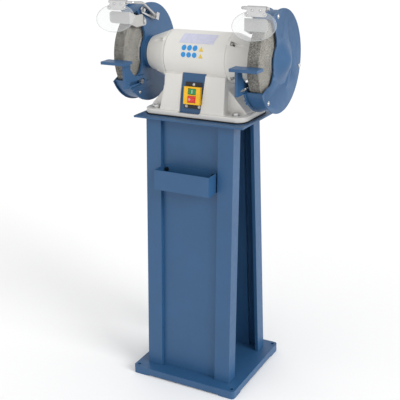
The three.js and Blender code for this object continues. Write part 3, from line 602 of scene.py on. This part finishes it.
def casting_skin():
    c = CASTING
    plan = rounded_rectangle(
        (-c["half_width"], SPINDLE.y - c["half_depth"]),
        (c["half_width"], SPINDLE.y + c["half_depth"]),
        c["corner"],
        10,
    )
    depth = (SPINDLE.y - c["wing_half_depth"], SPINDLE.y + c["wing_half_depth"])
    parts = [
        prism("flange", plan, c["bottom"], c["bottom"] + c["flange"], Z),
        core("core", 0, (c["bottom"], c["core_waist"], c["core_top"])),
        prism("wings", wing_outline(0, c["bottom"]), *depth, Y),
        rod("barrel", (-c["core_half_width"], SPINDLE.y, SPINDLE.z),
            (c["core_half_width"], SPINDLE.y, SPINDLE.z), MOTOR_RADIUS, 96),
    ]
    return soft_cast(merge("motor_housing_casting", parts), 1.8, 5)


def casting_hollows():
    c = CASTING
    cavity_top = SPINDLE.z - MOTOR_RADIUS - c["wall"]
    end = c["core_half_width"]
    depth = c["wing_half_depth"] - c["wall"]
    below = c["bottom"] - 5
    return [
        core("hollow", c["wall"], (below, cavity_top)),
        prism("wing_hollow", wing_outline(c["wall"], below), SPINDLE.y - depth, SPINDLE.y + depth, Y),
        rod("bore", (-end - 5, SPINDLE.y, SPINDLE.z), (end + 5, SPINDLE.y, SPINDLE.z), c["bore"], 96),
    ]


def recess_cutter():
    """A block over the switch panel, so the casting's face has a crisp recess round it."""
    low, high = [Vector(corner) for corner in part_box("switch_panel")]
    middle = (low + high) / 2
    cutter = bmesh.new()
    for vertex in NODES["switch_panel"].data.vertices:
        point = vertex.co + (vertex.co - middle) * 0.012
        cutter.verts.new(point - SWITCH_OUT * 0.4 * MM)
        cutter.verts.new(point + SWITCH_OUT * 30 * MM)
    bmesh.ops.convex_hull(cutter, input=cutter.verts)
    loose = [v for v in cutter.verts if not v.link_faces]
    bmesh.ops.delete(cutter, geom=loose, context="VERTS")
    mesh = bpy.data.meshes.new("recess")
    cutter.to_mesh(mesh)
    cutter.free()
    made = new_object("recess", mesh)
    make_normals_outward(made)
    return made


def contact_window():
    low, high = [Vector(corner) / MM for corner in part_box("switch_back_plate")]
    return block("contact_window", (low.x + 5, low.y, low.z + 10), (high.x - 5, high.y + 4, high.z - 14))


def bolt_hole(name):
    middle = centre(name) / MM
    return rod("bolt_hole", (middle.x, middle.y, 780), (middle.x, middle.y, FLANGE_TOP + 40), 5.6, 24)


BOLT_NAMES = [f"mounting_bolt_{row}_{side}" for row in ("front", "rear") for side in SIDES]


def make_casting():
    casting = casting_skin()
    gland = centre("cable_gland") / MM
    port = rod("gland_port", (gland.x, gland.y - 40, gland.z), (gland.x, gland.y + 40, gland.z), 8.3, 24)
    cutters = casting_hollows() + [recess_cutter(), contact_window(), port]
    cutters += [bolt_hole(name) for name in BOLT_NAMES]
    combine(casting, cutters, "DIFFERENCE")
    shade(casting)
    add_piece(casting, "frame", MATERIALS["off_white_paint"], ["motor_housing"])


# ---------------------------------------------------------------- end bells

QUARTERS = (45, 135, 225, 315)


def about_spindle(angle, radius):
    return radius * math.cos(math.radians(angle)), radius * math.sin(math.radians(angle))


def bell_profile():
    """The bell's section: a cone with a rounded rim, a bearing seat and a hollow behind."""
    b = BELL
    rounding = arc((b["end"] - 5, b["rim"] - 5), 5, 60, 0, 5)
    outside = [(b["start"], MOTOR_RADIUS), (b["start"] + 8, MOTOR_RADIUS - 1)]
    outside += [(x, radius) for x, radius in rounding]
    inside = [
        (b["end"], b["shaft_hole"]),
        (b["end"] - 6.7, b["shaft_hole"]),
        (b["end"] - 6.7, b["seat"]),
        (b["seat_start"], b["seat"]),
        (b["seat_start"], b["seat"] + 6),
        (b["end"] - 10, b["rim"] - b["wall"] - 2),
        (b["start"], MOTOR_RADIUS - b["wall"] - 1),
    ]
    return outside + inside


def pocket_cutter(angle):
    """A round-bottomed pocket that lets a driver reach a bell screw."""
    y, z = about_spindle(angle, BELL_SCREW["circle"])
    out_y, out_z = about_spindle(angle, BELL_SCREW["circle"] + 30)
    start, end = BELL_SCREW["seat"], BELL_SCREW["pocket_end"]
    width = BELL_SCREW["pocket"]
    floor = rod("floor", (start, y, z), (end, y, z), width, 32)
    across = Vector((0, out_y - y, out_z - z)).normalized()
    aside = Vector((1, 0, 0)).cross(across) * width
    corners = []
    for x in (start, end):
        for near in (Vector((x, y, z)), Vector((x, out_y, out_z))):
            corners += [near + aside, near - aside]
    faces = [(0, 1, 3, 2), (4, 6, 7, 5), (0, 2, 6, 4), (1, 5, 7, 3), (0, 4, 5, 1), (2, 3, 7, 6)]
    walls = mesh_object("walls", corners, faces)
    return [floor, walls]


def make_bell(side, direction):
    y_z = [about_spindle(angle, BELL_SCREW["circle"]) for angle in QUARTERS]
    cone = revolve(f"{side}_bell_casting", bell_profile(), 128)
    lugs = [rod("lug", (BELL["start"], y, z), (BELL_SCREW["seat"], y, z), 9.5, 40) for y, z in y_z]
    combine(cone, lugs, "UNION")
    bore = rod("motor_bore", (80, 0, 0), (BELL_SCREW["seat"], 0, 0), CASTING["bore"], 96)
    combine(cone, [bore] + [cutter for angle in QUARTERS for cutter in pocket_cutter(angle)], "DIFFERENCE")
    round_edges(cone, 1.0, 2, 28)
    to_side(cone, direction)
    add_piece(cone, "frame", MATERIALS["off_white_paint"], [f"{side}_end_bell"])
    head, height = BELL_SCREW["head"], BELL_SCREW["head_height"]
    heads = [socket_screw((BELL_SCREW["seat"], y, z), head, height) for y, z in y_z]
    screws = to_side(merge(f"{side}_bell_screws", heads), direction)
    add_piece(screws, "frame", MATERIALS["zinc"])


def socket_screw(seat, radius, height):
    """A cap screw's head that faces outward along X, with its hexagon socket."""
    x, y, z = seat
    head = rod("head", (x - 1, y, z), (x + height, y, z), radius, 32, 0.6)
    socket = rod("socket", (x + height - 2.5, y, z), (x + height + 2, y, z), radius * 0.55, 6)
    return shade(combine(head, [socket], "DIFFERENCE"), 30)


# ---------------------------------------------------------------- wheels


def make_wheel(side, direction):
    """The wheel, with its edges a little broken and its grit standing proud of the rim."""
    w = WHEEL
    rim_steps = 20
    chamfer, drop, recess = 1.2, 1.5, 60
    rim_width = w["end"] - w["start"] - 2 * chamfer
    rim = [(w["start"] + chamfer + rim_width * i / rim_steps, w["radius"]) for i in range(rim_steps + 1)]
    profile = [(w["start"], w["bore"]), (w["start"], recess), (w["start"], w["radius"] - drop), *rim]
    profile += [(w["end"], w["radius"] - drop), (w["end"], recess), (w["end"], w["bore"])]
    wheel = revolve(f"{side}_wheel_stone", profile, 240)
    for vertex in wheel.data.vertices:
        radius = math.hypot(vertex.co.y, vertex.co.z)
        if radius > (w["radius"] - 2) * MM:
            grit = noise.noise(vertex.co * 900) * 0.25 * MM
            vertex.co.y *= 1 - abs(grit) / radius
            vertex.co.z *= 1 - abs(grit) / radius
    shade(to_side(wheel, direction), 40)
    add_piece(wheel, "rotor", MATERIALS["abrasive"], [f"{side}_grinding_wheel"])
    # Faces that look along X (the flat sides) take the lighter grit copy: painted light on the wheel's sides.
    wheel.data.materials.append(WHEEL_SIDE_PAINTED_LIGHT)
    for face in wheel.data.polygons:
        face.material_index = int(abs(face.normal.x) > 0.9)
    rings = []
    for face, outward in ((w["start"], -1), (w["end"], 1)):
        low, high = sorted((face, face + outward * 0.8))
        section = [(low, w["flange"]), (high, w["flange"]), (high, w["blotter"]), (low, w["blotter"])]
        rings.append(revolve("ring", section, 96))
    blotters = shade(to_side(merge(f"{side}_wheel_blotters", rings), direction))
    add_piece(blotters, "rotor", BLOTTER)


# ---------------------------------------------------------------- guards


def pan_screw(name, seat, axis, radius, height, slot_turn=0.0):
    """A low round screw head on a washer, with a driver slot across it."""
    seat = Vector(seat)
    axis = Vector(axis).normalized()
    profile = [(0, 0), (0, radius * 1.35), (height * 0.3, radius * 1.35), (height * 0.3, radius)]
    crown = (0.35, 0.75, 1.1, 1.35)
    profile += [(height * 0.3 + height * 0.7 * math.sin(a), radius * math.cos(a)) for a in crown]
    profile += [(height, 0)]
    head = revolve(name, profile, 32, closed=False)
    cut = block("slot", (height * 0.7, -radius * 1.2, -0.5), (height + 1, radius * 1.2, 0.5))
    cut.data.transform(Matrix.Rotation(slot_turn, 4, "X"))
    combine(head, [cut], "DIFFERENCE")
    turn = Vector((1, 0, 0)).rotation_difference(axis).to_matrix().to_4x4()
    head.data.transform(Matrix.Translation(seat * MM) @ turn)
    return shade(head, 35)


LEDGES = [((-112, -87), (-19, -79)), ((-103, -97), (-4, -98))]
PLATE_SCREW = (-69.5, -103)
COVER_SCREWS = [(-27, 121), (-83, -95), (125.5, -31.5)]


def ledge(start, end):
    """A raised line cast into the plate's motor side."""
    face = GUARD_FACES["plate"][0]
    return rod("ledge", (face + 1, *start), (face + 1, *end), 3.2, 16, 1.5)


def make_guard_plate(side, direction):
    plate = cad_copy(f"{side}_guard_plate_casting", f"{side}_guard_plate")
    ledges = [to_side(ledge(start, end), direction) for start, end in LEDGES]
    combine(plate, ledges, "UNION")
    round_edges(plate, 0.5, 2, 60, 0.02)
    add_piece(plate, "frame", MATERIALS["blue_paint"], [f"{side}_guard_plate"])
    seat = (GUARD_FACES["plate"][0], *PLATE_SCREW)
    screw = pan_screw(f"{side}_guard_plate_screw", seat, (-1, 0, 0), 4.4, 4)
    add_piece(to_side(screw, direction), "frame", MATERIALS["zinc"])


def dome_curve(depth):
    """The bulge's skin as (x, radius) from its foot to its middle, at a depth under the outer skin."""
    face = GUARD_FACES["cover"][1] - depth
    foot = DOME["foot"] - depth / 2
    steps = 18
    points = []
    for i in range(steps + 1):
        radius = foot * (1 - i / steps)
        rise = 0.5 + 0.5 * math.cos(math.pi * radius / foot)
        points.append((face + DOME["height"] * rise, radius))
    return points


def make_cover(side, direction):
    """The flat plate with a pressed bead, and its smooth pressed dome as a mesh of its own."""
    inside, face = GUARD_FACES["cover"]
    cover = cad_copy(f"{side}_guard_cover_pressing", f"{side}_guard_cover")
    trim = to_side(block("trim", (face, -200, -200), (face + 60, 200, 200)), direction)
    combine(cover, [trim], "DIFFERENCE")
    outer = dome_curve(0)
    inner = dome_curve(DOME["sheet"])
    profile = [(inside, inner[0][1]), *inner[1:], *reversed(outer), (inside, outer[0][1])]
    dome = revolve(f"{side}_guard_cover_dome", profile, 128, (DOME["centre"], 0))
    shade(to_side(dome, direction), 40)
    add_piece(dome, "frame", MATERIALS["blue_paint"])
    bead = rod("bead", (face - 0.5, 37, -73), (face - 0.5, 63, -27), 6, 24, 5)
    bead.data.transform(Matrix.Translation(Vector((face * MM, 0, 0))) @ Matrix.Diagonal((0.5, 1, 1, 1))
                        @ Matrix.Translation(Vector((-face * MM, 0, 0))))
    combine(cover, [to_side(bead, direction)], "UNION")
    round_edges(cover, 0.8, 2, 40, 0.02)
    add_piece(cover, "frame", MATERIALS["blue_paint"], [f"{side}_guard_cover"])
    heads = []
    for i, place in enumerate(COVER_SCREWS):
        heads.append(pan_screw("screw", (face, *place), (1, 0, 0), 4.6, 4.4, 0.6 * i))
    screws = to_side(merge(f"{side}_guard_cover_screws", heads), direction)
    add_piece(screws, "frame", MATERIALS["zinc"])


# ---------------------------------------------------------------- spark arrestors

ARRESTOR = {
    "sheet": 2, "tab_outer": 173.6, "front": -107, "tab_back": -24, "tab_bottom": 79, "tab_top": 111,
    "tab_knee": -74, "plate_outer": 236, "plate_bottom": 92, "plate_top": 124, "corner": 10,
    "slot_y": -36, "slot": (84, 107), "slot_radius": 2.6,
}


def make_arrestor(side, direction):
    """The bent sheet: a slotted tab along the guard and a plate with round corners before the wheel.

    This plate is whole. The CAD node that it replaces lacks the plate's lower inner corner, by mistake.
    """
    a = ARRESTOR
    inner = a["tab_outer"] - a["sheet"]
    tab_outline = [
        (a["front"], a["plate_bottom"]),
        (a["tab_knee"], a["tab_bottom"]),
        (a["tab_back"] - 4, a["tab_bottom"]),
        (a["tab_back"], a["tab_bottom"] + 4),
        (a["tab_back"], a["tab_top"] - 17),
        (a["slot_y"] - 7, a["tab_top"]),
        (a["tab_knee"], a["tab_top"]),
        (a["front"], a["plate_top"]),
    ]
    low_corner = (a["plate_outer"] - a["corner"], a["plate_bottom"] + a["corner"])
    high_corner = (a["plate_outer"] - a["corner"], a["plate_top"] - a["corner"])
    plate_outline = [(inner, a["plate_bottom"]), *arc(low_corner, a["corner"], -90, 0, 10)]
    plate_outline += [*arc(high_corner, a["corner"], 0, 90, 10), (inner, a["plate_top"])]
    sheet = prism(f"{side}_spark_arrestor_sheet", tab_outline, inner, a["tab_outer"], X)
    plate = prism("plate", plate_outline, a["front"] - a["sheet"], a["front"], Y)
    combine(sheet, [plate], "UNION")
    low, high = a["slot"]
    slot_outline = arc((a["slot_y"], high), a["slot_radius"], 0, 180, 10)
    slot_outline += arc((a["slot_y"], low), a["slot_radius"], 180, 360, 10)
    combine(sheet, [prism("slot", slot_outline, inner - 1, a["tab_outer"] + 1, X)], "DIFFERENCE")
    round_edges(sheet, 0.4, 2, 40, 0.02)
    to_side(sheet, direction)
    body = f"{side}_spark_arrestor"
    add_piece(sheet, body, MATERIALS["pale_paint"], [body])


# ---------------------------------------------------------------- eye shields

BAR = (-105, 149)
SHIELD = {
    "centre": 206, "half_width": 61, "half_height": 39, "sheet": 3, "tilt": 24, "sleeve": 6.3,
    "hang": 6.6, "rod": 4, "rod_x": 161.5, "turn": 12, "tail": 10,
    "elbow": (-56, 144), "block": (10, 100), "bar_end": 238,
}


def hang_on_bar(obj):
    """Moves a piece made with the bar on the X axis to the bar, leaning with the shield."""
    turn = Matrix.Rotation(-math.radians(SHIELD["tilt"]), 4, "X")
    place = Matrix.Translation(Vector((SHIELD["centre"], *BAR)) * MM)
    obj.data.transform(place @ turn)
    return obj


def make_pane(side, direction):
    """The oval pane, with a rounded and slightly denser edge."""
    s = SHIELD
    segments = 96
    back, front = -1.0, 2.0
    rings = [(front, 1.0), (front, 0.35), (front - 0.5, 0.0), (back + 0.5, 0.0), (back, 0.35), (back, 1.0)]
    vertices = []
    for depth, inset in rings:
        for step in range(segments):
            angle = 2 * math.pi * step / segments
            x = (s["half_width"] - inset) * math.cos(angle)
            z = (s["half_height"] - inset) * math.sin(angle) - s["half_height"] - s["hang"]
            vertices.append((x, depth - s["sleeve"] + 2.6, z))
    faces = []
    for ring in range(len(rings) - 1):
        for step in range(segments):
            after = (step + 1) % segments
            low, high = ring * segments, (ring + 1) * segments
            faces.append((low + step, low + after, high + after, high + step))
    last = (len(rings) - 1) * segments
    faces += [tuple(range(segments)), tuple(range(last, last + segments))]
    pane = mesh_object(f"{side}_eye_shield_pane", vertices, faces)
    to_side(hang_on_bar(pane), direction)
    shade(pane, 20)
    add_piece(pane, f"{side}_shield", MATERIALS["clear_plastic"], [f"{side}_eye_shield"])
    pane.data.materials.append(CLEAR_EDGE)
    for face in pane.data.polygons:
        face.material_index = 1 if len(face.vertices) == 4 else 0


FLAP = {"half_width": 24, "ear": 6.5, "ear_x": 24, "ear_z": -17, "top": -2}


def flap_outline():
    """The clamp flap seen from the front: straight at the top, with a round ear at each lower corner."""
    f = FLAP
    right_ear = arc((f["ear_x"], f["ear_z"]), f["ear"], -90, 75, 10)
    left_ear = [(-x, z) for x, z in reversed(right_ear)]
    return right_ear + [(f["half_width"], f["top"]), (-f["half_width"], f["top"])] + left_ear


def make_bracket(side, direction):
    s = SHIELD
    half = 26
    outer = s["sleeve"]
    front = -outer
    bore = s["rod"] + 0.3
    sleeve = revolve("sleeve", [(-half, bore), (half, bore), (half, outer), (-half, outer)], 48)
    flap = prism("flap", flap_outline(), front, front + 2, Y)
    bracket = combine(sleeve, [flap], "UNION")
    bracket.name = f"{side}_shield_clamp"
    round_edges(bracket, 0.5, 2, 40)
    to_side(hang_on_bar(bracket), direction)
    add_piece(bracket, f"{side}_shield", MATERIALS["zinc"], [f"{side}_shield_bracket"])
    places = [(-FLAP["ear_x"], FLAP["ear_z"]), (FLAP["ear_x"], FLAP["ear_z"]), (-11, -7), (11, -7)]
    heads = [pan_screw("screw", (x, front, z), (0, -1, 0), 3.2, 3.0, 0.5 * x) for x, z in places]
    screws = to_side(hang_on_bar(merge(f"{side}_shield_clamp_screws", heads)), direction)
    add_piece(screws, f"{side}_shield", MATERIALS["zinc"])


def rod_path():
    """The bent rod's middle line: the cross bar, the corner, the elbow and the arm down to the link."""
    s = SHIELD
    turn = s["turn"]
    corner = Vector((s["rod_x"], *BAR))
    elbow = Vector((s["rod_x"], *s["elbow"]))
    foot = Vector((s["rod_x"], *s["block"]))
    to_elbow = (elbow - corner).normalized()
    to_foot = (foot - elbow).normalized()
    start = Vector((s["bar_end"], *BAR))
    first = bend(corner + Vector((turn, 0, 0)), corner, corner + to_elbow * turn)
    second = bend(elbow - to_elbow * turn, elbow, elbow + to_foot * turn)
    return [start] + first + second + [foot + to_foot * s["tail"]]


def make_rod(side, direction):
    rod_piece = tube(f"{side}_shield_rod_bent", rod_path(), SHIELD["rod"], 28)
    shade(to_side(rod_piece, direction), 40)
    add_piece(rod_piece, f"{side}_shield_arm", MATERIALS["steel"], [f"{side}_shield_rod"])


# ---------------------------------------------------------------- switch

def on_switch(obj):
    """Moves a piece made with x right, y out of the face and z up it onto the switch."""
    basis = Matrix((Vector((1, 0, 0)), SWITCH_OUT, SWITCH_UP)).transposed().to_4x4()
    obj.data.transform(Matrix.Translation(SWITCH_ORIGIN * MM) @ basis)
    make_normals_outward(obj)
    return obj


def pillow(name, half_width, bottom, top, back, front, corner, edge):
    """A moulded button: a rounded block with a softly rolled front edge."""
    steps = 4
    rings = [(back, 0.0), (front - edge, 0.0)]
    rings += [(front - edge + edge * math.sin(a), edge * (1 - math.cos(a))) for a in
              [math.pi / 2 * i / steps for i in range(1, steps + 1)]]
    vertices = []
    for depth, inset in rings:
        outline = rounded_rectangle((inset - half_width, bottom + inset), (half_width - inset, top - inset),
                                    max(corner - inset, 0.4))
        vertices += [(x, depth, z) for x, z in outline]
    count = len(vertices) // len(rings)
    faces = []
    for ring in range(len(rings) - 1):
        for i in range(count):
            after = (i + 1) % count
            low, high = ring * count, (ring + 1) * count
            faces.append((low + i, low + after, high + after, high + i))
    last = (len(rings) - 1) * count
    faces += [tuple(range(count)), tuple(range(last, last + count))]
    return shade(mesh_object(name, vertices, faces), 40)


BUTTON = {"front": 10.6, "half_width": 12, "back": 4, "corner": 2.5, "edge": 1.6}
START_CAP = (3, 19)
STOP_CAP = (-19, -1)
STOP_MIDDLE = -10.5
SWITCH_SCREWS = [(0, 30), (-20, -30), (20, -30)]


def button_cap(name, heights, front):
    b = BUTTON
    return pillow(name, b["half_width"], *heights, b["back"], front, b["corner"], b["edge"])


def make_switch():
    front = BUTTON["front"]
    start = button_cap("start_button_cap", START_CAP, front - 0.8)
    green, red = MATERIALS["green_plastic"], MATERIALS["red_plastic"]
    add_piece(on_switch(start), "start_button", green, ["start_button"])
    bar = pillow("start_mark", 0.9, 6, 16, front - 1.2, front - 0.5, 0.5, 0.2)
    add_piece(on_switch(bar), "start_button", PALE_MARK)
    stop = button_cap("stop_button_cap", STOP_CAP, front + 1.5)
    dome = rod("dome", (5, front - 1, STOP_MIDDLE), (5, front + 5.4, STOP_MIDDLE), 5.4, 40, 1.8)
    combine(stop, [dome], "UNION")
    shade(stop, 40)
    add_piece(on_switch(stop), "stop_button", red, ["stop_button"])
    ring = revolve("stop_mark", [(0, 1.7), (0.4, 1.7), (0.4, 2.7), (0, 2.7)], 32)
    place = Matrix.Translation(Vector((-6, front + 1.3, STOP_MIDDLE)) * MM)
    ring.data.transform(place @ Matrix.Rotation(math.pi / 2, 4, "Z"))
    add_piece(on_switch(shade(ring)), "stop_button", PALE_MARK)
    heads = [pan_screw("screw", (x, 0, z), (0, 1, 0), 2.9, 2.8, 0.9 * x) for x, z in SWITCH_SCREWS]
    screws = on_switch(merge("switch_screws", heads))
    add_piece(screws, "frame", MATERIALS["zinc"])


# ---------------------------------------------------------------- plates on the motor

def on_barrel(obj, lift):
    """Wraps a flat piece, drawn with x along the motor and z as height, onto the barrel's front."""
    for vertex in obj.data.vertices:
        depth, height = vertex.co.y, vertex.co.z - SPINDLE.z * MM
        radius = (MOTOR_RADIUS + lift) * MM + depth
        angle = math.asin(max(-0.999, min(0.999, height / radius)))
        vertex.co.y = SPINDLE.y * MM - radius * math.cos(angle)
        vertex.co.z = SPINDLE.z * MM + radius * math.sin(angle)
    make_normals_outward(obj)
    return obj


def sheet_grid(name, corners, thickness, steps):
    """A thin four-cornered sheet, cut into strips so that it can be wrapped."""
    (a, b, c, d) = [Vector((x, 0, z)) for x, z in corners]
    vertices, faces = [], []
    for depth in (0, thickness):
        for i in range(steps + 1):
            t = i / steps
            for point in (a.lerp(d, t), b.lerp(c, t)):
                vertices.append((point.x, depth, point.z))
    row = 2 * (steps + 1)
    for i in range(steps):
        faces.append((2 * i, 2 * i + 1, 2 * i + 3, 2 * i + 2))
        faces.append((row + 2 * i, row + 2 * i + 2, row + 2 * i + 3, row + 2 * i + 1))
        faces.append((2 * i, 2 * i + 2, row + 2 * i + 2, row + 2 * i))
        faces.append((2 * i + 1, row + 2 * i + 1, row + 2 * i + 3, 2 * i + 3))
    faces += [(0, row, row + 1, 1), (row - 2, row - 1, 2 * row - 1, 2 * row - 2)]
    return mesh_object(name, vertices, faces)


RATING_PLATE = [(-50, 997), (54, 997), (58, 1018), (-46, 1018)]
TAG_SHEET = 0.4
TAG_LIFT = 0.2
DISC = {"first": -31, "pitch": 17, "columns": 3, "radius": 7, "rows": (985, 967)}
WEDGE = {"middle": 22, "half": 7, "half_height": 6, "rows": (984, 966)}


def make_plates():
    """The blank rating plate, round tags and triangles that stand in for the printed ones."""
    plate = sheet_grid("rating_plate", RATING_PLATE, TAG_SHEET, 8)
    add_piece(on_barrel(plate, TAG_LIFT), "frame", PLATE_FOIL)
    discs = []
    for z in DISC["rows"]:
        for column in range(DISC["columns"]):
            x = DISC["first"] + DISC["pitch"] * column
            outline = arc((x, z), DISC["radius"], 0, 350, 35)
            discs.append(prism("disc", outline, 0, TAG_SHEET, Y))
    add_piece(on_barrel(merge("round_tags", discs), TAG_LIFT), "frame", DISC_BLUE)
    wedges = []
    x, half, rise = WEDGE["middle"], WEDGE["half"], WEDGE["half_height"]
    for z in WEDGE["rows"]:
        outline = [(x - half, z - rise), (x + half, z - rise), (x, z + rise)]
        wedges.append(prism("wedge", outline, 0, TAG_SHEET, Y))
    add_piece(on_barrel(merge("triangle_tags", wedges), TAG_LIFT), "frame", WEDGE_YELLOW)


# ---------------------------------------------------------------- camera, lights and floor


CAMERA = {
    "azimuth": 28.679, "elevation": 19.939, "roll": -1.075,
    "lens": 74.36, "sensor": 36, "place": (1.07658, -1.99573, 1.35870),
}
WORLD_STRENGTH = 0.8
FLOOR = {"half_size": 40000, "depth": 20, "gap": 0.2}


def make_camera():
    azimuth, elevation, roll = (math.radians(CAMERA[a]) for a in ("azimuth", "elevation", "roll"))
    back = Vector((
        math.sin(azimuth) * math.cos(elevation),
        -math.cos(azimuth) * math.cos(elevation),
        math.sin(elevation),
    ))
    right = Vector((0, 0, 1)).cross(back).normalized()
    up = back.cross(right)
    rolled_right = right * math.cos(roll) + up * math.sin(roll)
    rolled_up = up * math.cos(roll) - right * math.sin(roll)
    camera = bpy.data.objects.new("camera", bpy.data.cameras.new("camera"))
    camera.data.sensor_width = CAMERA["sensor"]
    camera.data.lens = CAMERA["lens"]
    axes = Matrix((rolled_right, rolled_up, back)).transposed().to_4x4()
    camera.matrix_world = Matrix.Translation(CAMERA["place"]) @ axes
    bpy.context.scene.collection.objects.link(camera)
    bpy.context.scene.camera = camera


def sun(name, direction, strength, softness):
    light = bpy.data.objects.new(name, bpy.data.lights.new(name, "SUN"))
    light.data.energy = strength
    light.data.angle = math.radians(softness)
    light.rotation_mode = "QUATERNION"
    light.rotation_quaternion = Vector((0, 0, 1)).rotation_difference(Vector(direction))
    bpy.context.scene.collection.objects.link(light)


def make_studio():
    world = bpy.data.worlds.new("studio")
    world.use_nodes = True
    background = world.node_tree.nodes["Background"]
    background.inputs["Color"].default_value = (1, 1, 1, 1)
    background.inputs["Strength"].default_value = WORLD_STRENGTH
    bpy.context.scene.world = world
    sun("key", (1.0, -0.25, 0.55), 1.7, 30)
    sun("fill", (-0.3, -1.0, 0.5), 0.25, 60)
    look = Look("studio_floor", 0.9, specular_ior_level=0.1)
    look.colour(look.ramp(look.noise(0.4, 2), [(0.2, (0.94, 0.94, 0.94)), (0.8, (0.96, 0.96, 0.96))]))
    size = FLOOR["half_size"]
    floor = block("floor", (-size, -size, -FLOOR["depth"]), (size, size, -FLOOR["gap"]))
    floor.data.materials.append(look.material)
    bpy.context.scene.view_settings.view_transform = "Standard"


# ---------------------------------------------------------------- assembly

finish_cad_nodes()
make_casting()
make_switch()
make_plates()
for side, direction in SIDES.items():
    make_bell(side, direction)
    make_wheel(side, direction)
    make_guard_plate(side, direction)
    make_cover(side, direction)
    make_arrestor(side, direction)
    make_pane(side, direction)
    make_bracket(side, direction)
    make_rod(side, direction)
make_camera()
make_studio()
